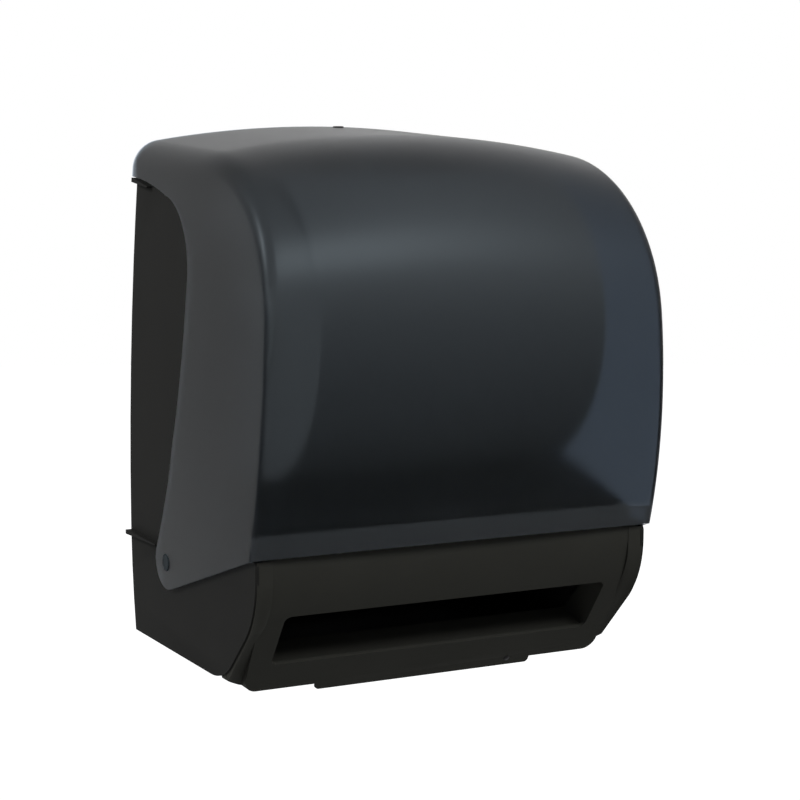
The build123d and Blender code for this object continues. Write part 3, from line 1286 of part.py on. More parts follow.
with BuildPart() as hub_clip_left:
    add(mirror(hub_clip_right.part, about=Plane.YZ, mode=Mode.PRIVATE))
save(hub_clip_left.part, "hub_clip_left")

with BuildPart() as arm_pins:
    reach = ARM_ROOT_HEIGHT / 2 + SEAT_GAP + LUG
    for side in (1, -1):
        with BuildSketch(Plane.XY.offset(ROLL_Z - reach)):
            with Locations((side * ARM_X, ARM_PIVOT_Y)):
                Circle(ARM_PIN_R)
        extrude(amount=2 * reach)
        with BuildSketch(Plane.XY.offset(ROLL_Z + reach)):
            with Locations((side * ARM_X, ARM_PIVOT_Y)):
                Circle(ARM_PIN_R + 1.5)
        extrude(amount=1.5)
save(arm_pins.part, "arm_pins")

# Keeper that the lock's cam turns behind
with BuildPart() as latch_keeper:
    with BuildSketch(Plane.XY.offset(KEEPER_Z - KEEPER_HEIGHT / 2)):
        wall = KEEPER_FAR_X - KEEPER_NEAR_X
        with Locations(((KEEPER_NEAR_X + KEEPER_FAR_X) / 2, KEEPER_FRONT_Y + KEEPER / 2)):
            Rectangle(wall, KEEPER)
        with Locations((KEEPER_FAR_X - KEEPER / 2, (KEEPER_FRONT_Y - BACK_PLATE) / 2)):
            Rectangle(KEEPER, -BACK_PLATE - KEEPER_FRONT_Y)
        with Locations(((KEEPER_FAR_X + KEEPER_TAB_X) / 2 - KEEPER / 2, -BACK_PLATE - KEEPER / 2)):
            Rectangle(KEEPER_TAB_X - KEEPER_FAR_X + KEEPER, KEEPER)
    extrude(amount=KEEPER_HEIGHT)
    with BuildSketch(pad_plane):
        with Locations(((KEEPER_FAR_X + KEEPER_TAB_X) / 2, KEEPER_Z)):
            RectangleRounded(KEEPER_TAB_X - KEEPER_FAR_X, KEEPER_TAB_HEIGHT, 2)
    extrude(amount=KEEPER)
    with BuildSketch(pad_plane):
        with Locations(*KEEPER_SCREWS):
            Circle(SCREW_R)
    extrude(amount=KEEPER, mode=Mode.SUBTRACT)
save(latch_keeper.part, "latch_keeper")

with BuildPart() as keeper_screws:
    with BuildSketch(pad_plane.offset(KEEPER)):
        with Locations(*KEEPER_SCREWS):
            Circle(SCREW_HEAD_R)
    extrude(amount=SCREW_HEAD)
    with BuildSketch(pad_plane.offset(KEEPER)):
        with Locations(*KEEPER_SCREWS):
            Circle(SCREW_R)
    extrude(amount=-KEEPER - KEEPER_SCREW_DEPTH + 0.3)
save(keeper_screws.part, "keeper_screws")

# Control panel with a feed button and two slide switches
panel_top = DECK_REAR_Z + PANEL_HEIGHT
with BuildPart() as control_panel:
    with BuildSketch(Plane.XY.offset(DECK_REAR_Z)):
        with Locations((PANEL_X, PANEL_Y)):
            RectangleRounded(PANEL_WIDTH, PANEL_LENGTH, 3)
    extrude(amount=PANEL_HEIGHT)
    chamfer(control_panel.faces().sort_by(Axis.Z)[-1].edges(), length=0.8)
    with BuildSketch(Plane.XY.offset(DECK_REAR_Z)):
        with Locations((PANEL_X, PANEL_Y)):
            RectangleRounded(PANEL_WIDTH - 2 * PANEL_WALL, PANEL_LENGTH - 2 * PANEL_WALL, 1.5)
    extrude(amount=PANEL_HEIGHT - PANEL_WALL, mode=Mode.SUBTRACT)
    with BuildSketch(Plane.XY.offset(DECK_REAR_Z)):
        with Locations((PANEL_X, PANEL_Y + BUTTON_Y)):
            Circle(BUTTON_R + SEAT_GAP)
        with Locations(*[(PANEL_X + x, PANEL_Y + SWITCH_Y) for x in SWITCH_XS]):
            Rectangle(SWITCH_WIDTH + 2 * SEAT_GAP, SWITCH_LENGTH + 2 * SWITCH_TRAVEL + 2 * SEAT_GAP)
    extrude(amount=PANEL_HEIGHT + 1, mode=Mode.SUBTRACT)
save(control_panel.part, "control_panel")

flange_top = panel_top - PANEL_WALL - SEAT_GAP
with BuildPart() as feed_button:
    with BuildSketch(Plane.XY.offset(flange_top - 2.4)):
        with Locations((PANEL_X, PANEL_Y + BUTTON_Y)):
            Circle(BUTTON_R)
    extrude(amount=panel_top + BUTTON_TRAVEL + 0.5 - flange_top + 2.4)
    chamfer(feed_button.edges().group_by(Axis.Z)[-1], length=0.6)
    with BuildSketch(Plane.XY.offset(flange_top - 1.2)):
        with Locations((PANEL_X, PANEL_Y + BUTTON_Y)):
            Circle(BUTTON_R + 1.2)
    extrude(amount=1.2)
save(feed_button.part, "feed_button")


def slide_switch(x):
    """Slide switch knob with its hidden foot, at its middle position."""
    with BuildPart() as knob:
        with BuildSketch(Plane.XY.offset(flange_top - 2.4)):
            with Locations((PANEL_X + x, PANEL_Y + SWITCH_Y)):
                Rectangle(SWITCH_WIDTH, SWITCH_LENGTH)
        extrude(amount=panel_top + 1.6 - flange_top + 2.4)
        chamfer(knob.faces().sort_by(Axis.Z)[-1].edges(), length=0.4)
        with BuildSketch(Plane.XY.offset(flange_top - 1)):
            with Locations((PANEL_X + x, PANEL_Y + SWITCH_Y)):
                Rectangle(SWITCH_WIDTH + 2.4, SWITCH_LENGTH + 4)
        extrude(amount=1)
    return knob.part


save(slide_switch(SWITCH_XS[0]), "length_switch")
save(slide_switch(SWITCH_XS[1]), "delay_switch")

# Circuit board under the deck, with its larger components
with BuildPart() as circuit_board:
    with BuildSketch(Plane.XY.offset(BOARD_Z)):
        with Locations((BOARD_X, BOARD_Y)):
            Rectangle(BOARD_WIDTH, BOARD_LENGTH)
    extrude(amount=BOARD)
    with BuildSketch(Plane.XY.offset(BOARD_Z)):
        with Locations((BOARD_X - 14, BOARD_Y + 4)):
            Rectangle(16, 12)
        with Locations((BOARD_X + 20, BOARD_Y - 12)):
            Rectangle(12, 8)
    extrude(amount=-2.5)
    with BuildSketch(Plane.XY.offset(BOARD_Z)):
        with Locations((BOARD_X + 16, BOARD_Y + 12), (BOARD_X + 28, BOARD_Y + 12)):
            Circle(4)
    extrude(amount=-9)
save(circuit_board.part, "circuit_board")
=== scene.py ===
"""Automatic roll towel dispenser for a wall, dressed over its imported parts.

The smoked cover, the towel roll, the flanks beside the nose and the stage are surfaces
worked out here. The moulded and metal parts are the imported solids, merged and smoothed, and
the larger mouldings have slightly broken edges.
Lengths are in metres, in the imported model's own frame: +Z up, +Y into the wall.
"""

import bmesh
import bpy
import numpy as np
from bpy.props import FloatProperty, FloatVectorProperty, PointerProperty
from mathutils import Euler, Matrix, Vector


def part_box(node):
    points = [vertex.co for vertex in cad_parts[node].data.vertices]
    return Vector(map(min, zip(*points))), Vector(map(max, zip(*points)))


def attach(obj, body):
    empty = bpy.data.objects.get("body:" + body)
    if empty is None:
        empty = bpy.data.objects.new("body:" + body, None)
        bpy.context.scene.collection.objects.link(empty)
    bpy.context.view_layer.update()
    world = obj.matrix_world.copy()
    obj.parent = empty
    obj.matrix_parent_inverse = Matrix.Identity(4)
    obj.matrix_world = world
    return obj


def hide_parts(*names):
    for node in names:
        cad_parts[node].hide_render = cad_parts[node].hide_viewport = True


bl_info = {
    "name": "Roll towel dispenser",
    "version": (1, 0, 0),
    "blender": (4, 5, 0),
    "location": "3D View > Sidebar > Dispenser",
    "description": "Makes the cover, the roll, the finishes and the stage of a wall towel dispenser",
    "category": "Object",
}

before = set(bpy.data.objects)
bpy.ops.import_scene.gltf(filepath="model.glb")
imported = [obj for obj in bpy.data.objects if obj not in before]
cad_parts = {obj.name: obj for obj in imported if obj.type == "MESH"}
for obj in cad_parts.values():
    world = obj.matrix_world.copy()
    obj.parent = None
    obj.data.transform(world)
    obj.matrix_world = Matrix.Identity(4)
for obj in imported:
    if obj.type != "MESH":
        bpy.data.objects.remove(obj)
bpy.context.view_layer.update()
COVER_LOW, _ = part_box("cover")
ROLL_LOW, ROLL_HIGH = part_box("towel_roll")
NOSE_LOW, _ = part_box("nose_fascia")
MM = 0.001


def linear(hex_colour):
    """Linear colour with full opacity from an sRGB hex value such as #3A3E42."""
    srgb = np.array([int(hex_colour[i : i + 2], 16) for i in (1, 3, 5)]) / 255
    rgb = np.where(srgb <= 0.04045, srgb / 12.92, ((srgb + 0.055) / 1.055) ** 2.4)
    return (*(float(c) for c in rgb), 1.0)


def length(name, description, default):
    """A property for one length."""
    return FloatProperty(name=name, description=description, default=default, unit="LENGTH")


def colour(name, description, hex_colour):
    """A property for one colour."""
    return FloatVectorProperty(
        name=name,
        description=description,
        default=linear(hex_colour),
        size=4,
        subtype="COLOR",
        min=0,
        max=1,
    )


class CoverSizes(bpy.types.PropertyGroup):
    """Sizes of the smoked cover"""

    top_height: length("Top height", "Height of the crown where it meets the wall", 0.186)
    top_slope: FloatProperty(
        name="Top slope",
        description="How far the top falls towards the front",
        default=float(np.radians(4.6)),
        subtype="ANGLE",
    )
    top_round: length("Top round", "Radius between the top and the front", 0.117)
    front_round: length("Front round", "Radius of the bulging front", 0.442)
    bulge_height: length("Bulge height", "Height where the front reaches furthest", 0.0425)
    depth: length("Depth", "From the wall to the furthest point of the front", -COVER_LOW.y)
    half_width: length("Half width", "Half the cover at the wall, at its widest height", 0.1582)
    widest_height: length("Widest height", "Height where the sides are furthest apart", -0.095)
    upper_bow: length("Upper bow", "Radius of the sides above the widest height", 3.3)
    lower_bow: length("Lower bow", "Radius of the sides below the widest height", 1.436)
    draft: FloatProperty(
        name="Draft", description="How the sides close in for each metre of depth", default=0.062
    )
    wall: length("Wall", "Thickness of the moulding", 0.0022)
    wall_gap: length("Wall gap", "Space between the cover and the wall", 0.0008)
    crown_top: length("Crown, top", "Rise of the crown across the top", 0.015)
    crown_front: length("Crown, front", "Rise of the crown across the front", 0.0025)
    corner_top: length("Corner, top", "Radius of the corners along the top", 0.022)
    corner_chin: length("Corner, chin", "Radius of the corners at the chin", 0.004)
    lip_height: length("Lip height", "Height of the thicker lower edge", 0.012)
    lip_extra: length("Lip extra", "How much thicker the lower edge is", 0.0013)
    ear_radius: length("Ear radius", "Radius of the hinge ears", 0.0185)
    lock_hole: length("Lock hole", "Radius of the hole for the lock", 0.00405)
    lock_place: length("Lock place", "Depth of the lock, from the wall", -0.020)
    pin_seat: length("Pin seat", "Radius of the flat seats of the hinge pins", 0.0062)
    pin_seat_place: length("Pin seat place", "Flat seats of the hinge pins, from the middle", 0.1526)
    pin_hole: length("Pin hole", "Radius of the holes of the hinge pins", 0.004)


class RollSizes(bpy.types.PropertyGroup):
    """Sizes of the towel roll"""

    radius: length("Radius", "Outer radius of a full roll", (ROLL_HIGH.z - ROLL_LOW.z) / 2)
    width: length("Width", "Width of the towel", ROLL_HIGH.x - ROLL_LOW.x)
    core_radius: length("Core radius", "Outer radius of the paper core", 0.022)
    edge: length("Edge", "How far the roll's outer edges are rounded", 0.0012)


class Finishes(bpy.types.PropertyGroup):
    """Colours of the finishes"""

    smoke: colour("Smoke", "White as it looks through one wall of the cover", "#989B9F")
    casing: colour("Casing", "Black of the casing's mouldings", "#181817")
    # The nose's black is a lighter copy of the casing's black. It is painted light on the nose and its
    # flanks, standing in for light from the front and below that the lamps don't give.
    nose: colour("Nose", "Black of the nose and its flanks", "#262623")
    pins: colour("Hinge pins", "Smoke grey of the hinge pins", "#22272A")
    inner_black: colour("Inner black", "Black of the inner mouldings", "#191919")
    grey: colour("Grey", "Grey of the inner mouldings", "#6A6D70")
    nylon: colour("Nylon", "Natural nylon of hubs, gears and bushes", "#E4E1D6")
    paper: colour("Paper", "White of the towel", "#BDBAB2")
    board: colour("Core board", "Brown of the paper core", "#A58661")
    stage: colour("Stage", "Floor and background", "#FFFFFF")


# Places that the cover's outline passes, as depth and height in metres
FAN = (-0.020, -0.150)
PIVOT = (-0.076, -0.111)
KNEE = (-0.118, 0.12422)
WAIST = (-0.084, -0.053)
CHIN = (-0.217, -0.084)
EDGE_TOP = 0.149
EDGE_FALL = 0.21
KNEE_ROUND = 0.055
WAIST_ROUND = 0.160
# Degrees about the fan's line between which the crown flattens and the corners tighten
CROWN_CHANGE = (17, 47)
CORNER_CHANGE = (-6, 68)
# Degrees that the skin turns through about the fan's line, from the wall to the chin
SKIN_TURN = 75
# The cover's grid: rows above the lip and on it, the share of the way between the two, and
# columns, with the share of them that lies on the crown and how dense the corners are
ROWS, LIP_ROWS, LIP_STEP = 136, 12, 0.0012
COLUMNS, CROWN_SHARE, CORNER_DENSITY = 133, 0.3, 5
# Front and bottom of the flanks beside the nose, and the rounds of their two corners
FLANK = ((-0.211, -0.0872), (-0.211, -0.1218), (-0.1605, -0.1836), (-0.1505, -0.1836))
FLANK_ROUNDS = (0.060, 0.004)
# Their inner edge from the middle, and their outer edge in from the cover's side
FLANK_INNER, FLANK_OUTER = 0.1290, 5.4 * MM
FLANK_WALL, FLANK_COLUMNS = 1.5 * MM, 17
# How deep they lie in millimetres: at the cheek, more in the middle, and more at the nose
FLANK_DEPTHS = (1.6, 9.6, 5)
# The share of this that is left at the top, and the heights between which it fades
FLANK_TOP_SHARE, FLANK_FADE = 0.1, (-0.150, -0.100)
# How far their outer edge returns, and the height of the cheek's bottom
FLANK_RETURN, CHEEK_BOTTOM = (6 * MM, 14 * MM), -0.1735
# Radius of a turned body's end where it closes on its axis
AXIS = 1e-6
# Degrees past which an edge stays sharp, or is broken
SHARP = 32
# The photograph's camera: place, turn in degrees, and lens and film in millimetres
CAMERA_PLACE, CAMERA_TURN = (-0.5134, -1.1794, 0.1320), (83.428, 0, -25.906)
CAMERA_LENS, CAMERA_FILM = 77.895, 36.0
# Lamps: place, width and height, and power in watts. They look at the same place
LAMPS = {
    "key_lamp": ((0.45, -1.6, 1.38), (0.8, 0.7), 46),
    "left_lamp": ((-1.65, -0.25, 1.2), (0.5, 0.5), 42),
    "rear_lamp": ((1.0, 1.2, 1.1), (1.0, 1.0), 1.0),
}
LAMPS_AIM = (0, -0.1, 0)
# The floor: how far it lies below the nose, and the radii of its rings
FLOOR_DROP, FLOOR_RINGS, FLOOR_SEGMENTS = 0.55, (AXIS, 1.0, 3.0, 8.0), 64


def smooth(low, high, start, end, value):
    """Change from low at start to high at end along a cubic that is level at both ends."""
    share = np.clip((value - start) / (end - start), 0, 1)
    return low + (high - low) * share**2 * (3 - 2 * share)


def side_reach(s, y, z):
    """Half width at a depth and height: a parabola in height, less a share of the depth."""
    bow = np.where(z > s.widest_height, s.upper_bow, s.lower_bow)
    return s.half_width + s.draft * y - (z - s.widest_height) ** 2 / (2 * bow)


def skin_distance(s, angle, inset):
    """Distance of the skin from the fan's line, along the middle of the cover.

    A ray at the angle meets the sloping top line, else the circle of the top round, else
    the circle of the front. Each circle's far crossing is the root of a quadratic. Where a
    ray misses a circle the root is no number, and the ray meets the line instead.
    """
    dy, dz = -np.sin(angle), np.cos(angle)
    slope = np.tan(s.top_slope)
    low = s.top_height - s.top_round / np.cos(s.top_slope)
    front = s.front_round - s.depth
    a = 1 + slope**2
    b = 2 * slope * (low - s.bulge_height) - 2 * front
    c = front**2 + (low - s.bulge_height) ** 2 - (s.front_round - s.top_round) ** 2
    round_y = (-b - np.sqrt(b * b - 4 * a * c)) / (2 * a)
    round_z = low + slope * round_y

    def crossing(cy, cz, radius):
        oy, oz = FAN[0] - cy, FAN[1] - cz
        half_b = oy * dy + oz * dz
        with np.errstate(invalid="ignore"):
            return -half_b + np.sqrt(half_b**2 - oy**2 - oz**2 + (radius - inset) ** 2)

    height = s.top_height - inset / np.cos(s.top_slope)
    on_line = (height + slope * FAN[0] - FAN[1]) / (dz - slope * dy)
    on_front = crossing(front, s.bulge_height, s.front_round)
    on_round = crossing(round_y, round_z, s.top_round)
    share = s.front_round / (s.front_round - s.top_round)
    meet_z = s.bulge_height + share * (round_z - s.bulge_height)
    reach = np.where(FAN[1] + on_front * dz > meet_z, on_round, on_front)
    line_ends = round_y - s.top_round * np.sin(s.top_slope)
    return np.where(FAN[0] + on_line * dy > line_ends, on_line, reach)


def rounded_corner(before, corner, after, radius, count=24):
    """Points of the arc of a radius that touches both lines of a corner.

    The arc's centre lies on the corner's bisector. The points turn evenly from one
    touching point to the other.
    """
    before, corner, after = (np.array(p) for p in (before, corner, after))
    u, v = before - corner, after - corner
    u, v = u / np.linalg.norm(u), v / np.linalg.norm(v)
    half = np.arccos(u @ v) / 2
    centre = corner + (u + v) / np.linalg.norm(u + v) * radius / np.sin(half)
    start = corner + u * radius / np.tan(half) - centre
    end = corner + v * radius / np.tan(half) - centre
    turn = np.pi - 2 * half
    share = np.linspace(0, 1, count)[:, None]
    return centre + (np.sin((1 - share) * turn) * start + np.sin(share * turn) * end) / np.sin(turn)


def tangent_point(outside, radius, side):
    """Place where a line from an outside point touches the ear, and its bearing."""
    reach = np.array(outside) - PIVOT
    bearing = np.arctan2(reach[1], reach[0]) + side * np.arccos(radius / np.hypot(*reach))
    return bearing, np.array(PIVOT) + radius * np.array([np.cos(bearing), np.sin(bearing)])


def rear_edge(s):
    """The cover's rear edge in side view, as angles about the fan's line and distances.

    It falls from the wall to the knee, turns down to the waist, and goes round the ear.
    """
    top = np.array([[-s.wall_gap, EDGE_TOP - EDGE_FALL * s.wall_gap]])
    rear, ear_rear = tangent_point(WAIST, s.ear_radius, -1)
    lower, _ = tangent_point(CHIN, s.ear_radius, 1)
    bearings = np.linspace(rear, lower - 2 * np.pi, 60)[:, None]
    ear = np.array(PIVOT) + s.ear_radius * np.hstack([np.cos(bearings), np.sin(bearings)])
    knee = rounded_corner(top[0], KNEE, WAIST, KNEE_ROUND)
    waist = rounded_corner(KNEE, WAIST, ear_rear, WAIST_ROUND)
    edge = np.vstack([top, knee, waist, ear]) - FAN
    return np.arctan2(-edge[:, 0], edge[:, 1]), np.hypot(edge[:, 0], edge[:, 1])


def cover_point(s, edge, angle, across, inset):
    """A point of the cover's skin from its angle about the fan's line and its place across.

    Each cross-section is a crown arc from the middle to a corner, the corner's arc, which
    touches the crown from inside and the bowed side, and the side down to the rear edge.
    Across runs from -1 to 1. Its middle part is spread over the crown by angle. Its outer
    parts are spread over corner and side by length, with the corners denser.
    """
    degrees = np.degrees(angle)
    dy, dz = -np.sin(angle), np.cos(angle)
    reach = skin_distance(s, angle, inset)
    shoulder = reach - smooth(s.crown_top, s.crown_front, *CROWN_CHANGE, degrees)
    corner = smooth(s.corner_top, s.corner_chin, *CORNER_CHANGE, degrees) - 0.8 * inset

    def half(distance):
        return side_reach(s, FAN[0] + distance * dy, FAN[1] + distance * dz) - inset

    def lean(distance):
        return (half(distance + 1e-4) - half(distance - 1e-4)) / 2e-4

    rise = reach - shoulder
    crown = (half(shoulder) ** 2 + rise**2) / (2 * rise)
    crown_centre = reach - crown
    touch = shoulder - corner
    for _ in range(5):
        m = lean(touch)
        norm = np.sqrt(1 + m * m)
        a = half(touch) + m * (shoulder - touch) - corner * norm
        b = a * m + shoulder - crown_centre
        c = a * a + (shoulder - crown_centre) ** 2 - (crown - corner) ** 2
        q = (-b + np.sqrt(b * b - norm**2 * c)) / norm**2
        centre_x, centre_d = a + m * q, shoulder + q
        touch = centre_d - corner * m / norm
    steep = np.arctan2(centre_d - crown_centre, centre_x)
    stop = np.interp(angle, *edge)
    flat = np.arctan2(-m, 1)
    flat = np.maximum(flat, np.arcsin(np.clip((stop - centre_d) / corner, -1, 1)))
    arc = corner * (steep - flat) * CORNER_DENSITY
    run = np.maximum(touch - stop, 0) * norm
    place = np.clip((np.abs(across) - CROWN_SHARE) / (1 - CROWN_SHARE), 0, 1) * (arc + run)
    bearing = steep - np.clip(place / arc, 0, 1) * (steep - flat)
    distance = touch - np.maximum(place - arc, 0) / norm
    turn = (np.pi / 2 - steep) * np.clip(np.abs(across) / CROWN_SHARE, 0, 1)
    on_crown = np.abs(across) < CROWN_SHARE
    x = np.where(place > arc, half(distance), centre_x + corner * np.cos(bearing))
    d = np.where(place > arc, distance, centre_d + corner * np.sin(bearing))
    x = np.where(on_crown, crown * np.sin(turn), x) * np.sign(across)
    d = np.where(on_crown, crown_centre + crown * np.cos(turn), d)
    return x, FAN[0] + d * dy, FAN[1] + d * dz, d


def cover_grid(s, edge, rows, across, inset):
    """The skin on a grid from the wall to the chin.

    Each column's first angle puts it at the wall gap, and its last angle puts it on the
    line from the ear to the chin. Both are found by repeating them with the distance
    that they give.
    """
    _, ear_low = tangent_point(CHIN, s.ear_radius, 1)
    ear_low, chin = ear_low - FAN, np.array(CHIN) - FAN
    along = np.arctan2(-(chin - ear_low)[0], (chin - ear_low)[1])
    offset = ear_low @ (np.cos(along), np.sin(along))
    first, last = np.full_like(across, edge[0][0]), np.full_like(across, along)
    for _ in range(8):
        first = np.arcsin((FAN[0] + s.wall_gap) / cover_point(s, edge, first, across, inset[0])[3])
        last = along - np.arcsin(offset / cover_point(s, edge, last, across, inset[-1])[3])
    angle = first + rows[:, None] * (last - first)
    return np.stack(cover_point(s, edge, angle, across[None, :], inset)[:3], axis=-1)


def grid_faces(rows, columns, start=0):
    """Quads of a grid of points that are numbered row by row."""
    index = np.arange(rows * columns).reshape(rows, columns) + start
    corners = (index[:-1, :-1], index[1:, :-1], index[1:, 1:], index[:-1, 1:])
    return np.stack([c.ravel() for c in corners], axis=1)


def grid_border(index):
    """Numbers of the points round a grid's border, in order."""
    return np.concatenate([index[0, :], index[1:, -1], index[-1, -2::-1], index[-2:0:-1, 0]])


def mesh_object(name, points, faces):
    """A new object from arrays of points and faces, with doubles merged."""
    mesh = bpy.data.meshes.new(name)
    mesh.from_pydata(np.asarray(points).reshape(-1, 3).tolist(), [], np.asarray(faces).tolist())
    built = bmesh.new()
    built.from_mesh(mesh)
    bmesh.ops.remove_doubles(built, verts=built.verts, dist=1e-7)
    built.to_mesh(mesh)
    built.free()
    mesh.validate()
    obj = bpy.data.objects.new(name, mesh)
    bpy.context.scene.collection.objects.link(obj)
    return obj


def outward(obj):
    """Turns every face of a closed shell outwards."""
    built = bmesh.new()
    built.from_mesh(obj.data)
    bmesh.ops.recalc_face_normals(built, faces=built.faces)
    built.to_mesh(obj.data)
    built.free()


def shade(obj):
    """Smooth shading that breaks at sharp edges."""
    mesh = obj.data
    mesh.polygons.foreach_set("use_smooth", np.ones(len(mesh.polygons), bool))
    mesh.set_sharp_from_angle(angle=np.radians(SHARP))


def turned(name, profile, middle, segments):
    """A turned body: a closed profile of (place along X, radius) swept round an X line.

    Each point of the profile goes to its place along X, and to its radius times the cosine
    and sine of the turn in Y and Z.
    """
    profile = np.array(profile)
    turn = np.linspace(0, 2 * np.pi, segments, endpoint=False)
    along = np.broadcast_to(profile[:, 0, None], (len(profile), segments))
    y = middle[0] + profile[:, 1, None] * np.cos(turn)
    z = middle[1] + profile[:, 1, None] * np.sin(turn)
    points = np.stack([along, y, z], axis=-1)
    index = np.arange(len(profile) * segments).reshape(len(profile), segments)
    after, beside = np.roll(index, -1, axis=0), np.roll(index, -1, axis=1)
    both = np.roll(after, -1, axis=1)
    faces = np.stack([index, after, both, beside], axis=-1).reshape(-1, 4)
    return mesh_object(name, points, faces)


def apply_modifiers(obj):
    """Replaces the object's mesh by what its modifiers give."""
    graph = bpy.context.evaluated_depsgraph_get()
    mesh = bpy.data.meshes.new_from_object(obj.evaluated_get(graph))
    obj.modifiers.clear()
    old, obj.data = obj.data, mesh
    bpy.data.meshes.remove(old)


def cut(obj, *cutters):
    """Takes each cutter's space out of an object, and deletes the cutters."""
    for cutter in cutters:
        boolean = obj.modifiers.new("cut", "BOOLEAN")
        boolean.operation = "DIFFERENCE"
        boolean.solver = "EXACT"
        boolean.object = cutter
        apply_modifiers(obj)
        bpy.data.objects.remove(cutter)


def flank_line():
    """The front edge of the flanks in side view, and the way into the housing from it."""
    high = rounded_corner(FLANK[0], FLANK[1], FLANK[2], FLANK_ROUNDS[0])
    low = rounded_corner(FLANK[1], FLANK[2], FLANK[3], FLANK_ROUNDS[1], 8)
    line = np.vstack([FLANK[0], high, low, FLANK[3]])
    along = np.gradient(line, axis=0)
    inward = np.stack([-along[:, 1], along[:, 0]], axis=1)
    return line, inward / np.linalg.norm(inward, axis=1)[:, None]


def nose_flanks(s):
    """The sunk flanks that close the grooves between the nose and the cheeks.

    Across a groove each point lies in from the flanks' line by a parabola that is deepest
    in the middle, and dives under the nose as a fourth power. The outer edge follows the
    cover's side, just inside the cheek's face, and returns straight back. Towards the top
    the grooves grow shallow, until the flanks are nearly flush. Below the cheek's bottom
    the points rise in proportion to their share, so that the lower edge slopes.
    """
    line, inward = flank_line()
    share = np.concatenate([np.linspace(0, 1, FLANK_COLUMNS), [1, 1]])[None, :]
    back = np.concatenate([np.zeros(FLANK_COLUMNS), FLANK_RETURN])[None, :]
    at_cheek, middle, at_nose = FLANK_DEPTHS
    fade = smooth(1, FLANK_TOP_SHARE, *FLANK_FADE, line[:, 1, None])
    bowl = at_cheek + middle * share * (1 - share) + at_nose * (1 - share) ** 4
    depth = fade * bowl * MM + back
    size = len(line) * share.size
    index = np.arange(size).reshape(len(line), share.size)
    loop = grid_border(index)
    after = np.roll(loop, -1)
    points, faces = [], []
    for side in (-1, 1):
        start = size * len(points)
        for inset in (0, FLANK_WALL):
            y = line[:, 0, None] + (depth + inset) * inward[:, 0, None]
            z = line[:, 1, None] + (depth + inset) * inward[:, 1, None]
            z = z + share * np.maximum(CHEEK_BOTTOM - z, 0)
            outer = side_reach(s, y, z) - FLANK_OUTER - inset
            x = side * (FLANK_INNER + share * (outer - FLANK_INNER))
            points.append(np.stack([x, y, z], axis=-1))
        faces += [grid_faces(*index.shape, start), grid_faces(*index.shape, start + size)]
        faces.append(np.stack([loop, after, after + size, loop + size], axis=1) + start)
    flanks = mesh_object("nose_flanks", np.stack(points), np.vstack(faces))
    outward(flanks)
    shade(flanks)
    return flanks


def broken_edges(obj, width):
    """The small radius that a mould or a tumbler leaves on every edge."""
    bevel = obj.modifiers.new("broken edges", "BEVEL")
    bevel.width = width
    bevel.segments = 2
    bevel.limit_method = "ANGLE"
    bevel.angle_limit = np.radians(SHARP)
    bevel.harden_normals = True


def moulding(node, name, body, slot_name, material, width=0.3 * MM):
    """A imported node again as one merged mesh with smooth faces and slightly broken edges."""
    obj = bpy.data.objects.new(name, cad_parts[node].data.copy())
    bpy.context.scene.collection.objects.link(obj)
    built = bmesh.new()
    built.from_mesh(obj.data)
    bmesh.ops.remove_doubles(built, verts=built.verts, dist=2e-6)
    bmesh.ops.dissolve_limit(
        built, angle_limit=np.radians(0.4), verts=built.verts, edges=built.edges, delimit={"NORMAL"}
    )
    built.to_mesh(obj.data)
    built.free()
    obj.data.validate()
    shade(obj)
    if width:
        broken_edges(obj, width)
    settle(obj, body, slot_name, material, node)


def settle(obj, body, slot_name, material, *nodes):
    """Gives a piece its finish and its body, and hides the nodes that it stands for."""
    obj.data.materials.clear()
    obj.data.materials.append(material)
    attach(obj, body)
    if nodes:
        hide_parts(*nodes)


def smoothed(body, slot_name, *nodes):
    """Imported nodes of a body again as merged, smoothly shaded copies with a finish."""
    for node in nodes:
        moulding(node, f"{node}_smoothed", body, slot_name, finishes()[slot_name], 0)


def add_node(tree, kind, inputs=None, **settings):
    """Adds one node with its settings. An input is a value, or the output that feeds it."""
    node = tree.nodes.new(kind)
    for key, value in settings.items():
        setattr(node, key, value)
    for key, value in (inputs or {}).items():
        if isinstance(value, bpy.types.NodeSocket):
            tree.links.new(value, node.inputs[key])
        else:
            node.inputs[key].default_value = value
    return node


def surface(name, shader, **inputs):
    """A new material with one main shader, and the tree that its pattern is added to."""
    material = bpy.data.materials.new(name)
    material.use_nodes = True
    tree = material.node_tree
    tree.nodes.clear()
    main = add_node(tree, shader, {key.replace("_", " "): value for key, value in inputs.items()})
    add_node(tree, "ShaderNodeOutputMaterial", {"Surface": main.outputs[0]})
    return material, tree, main


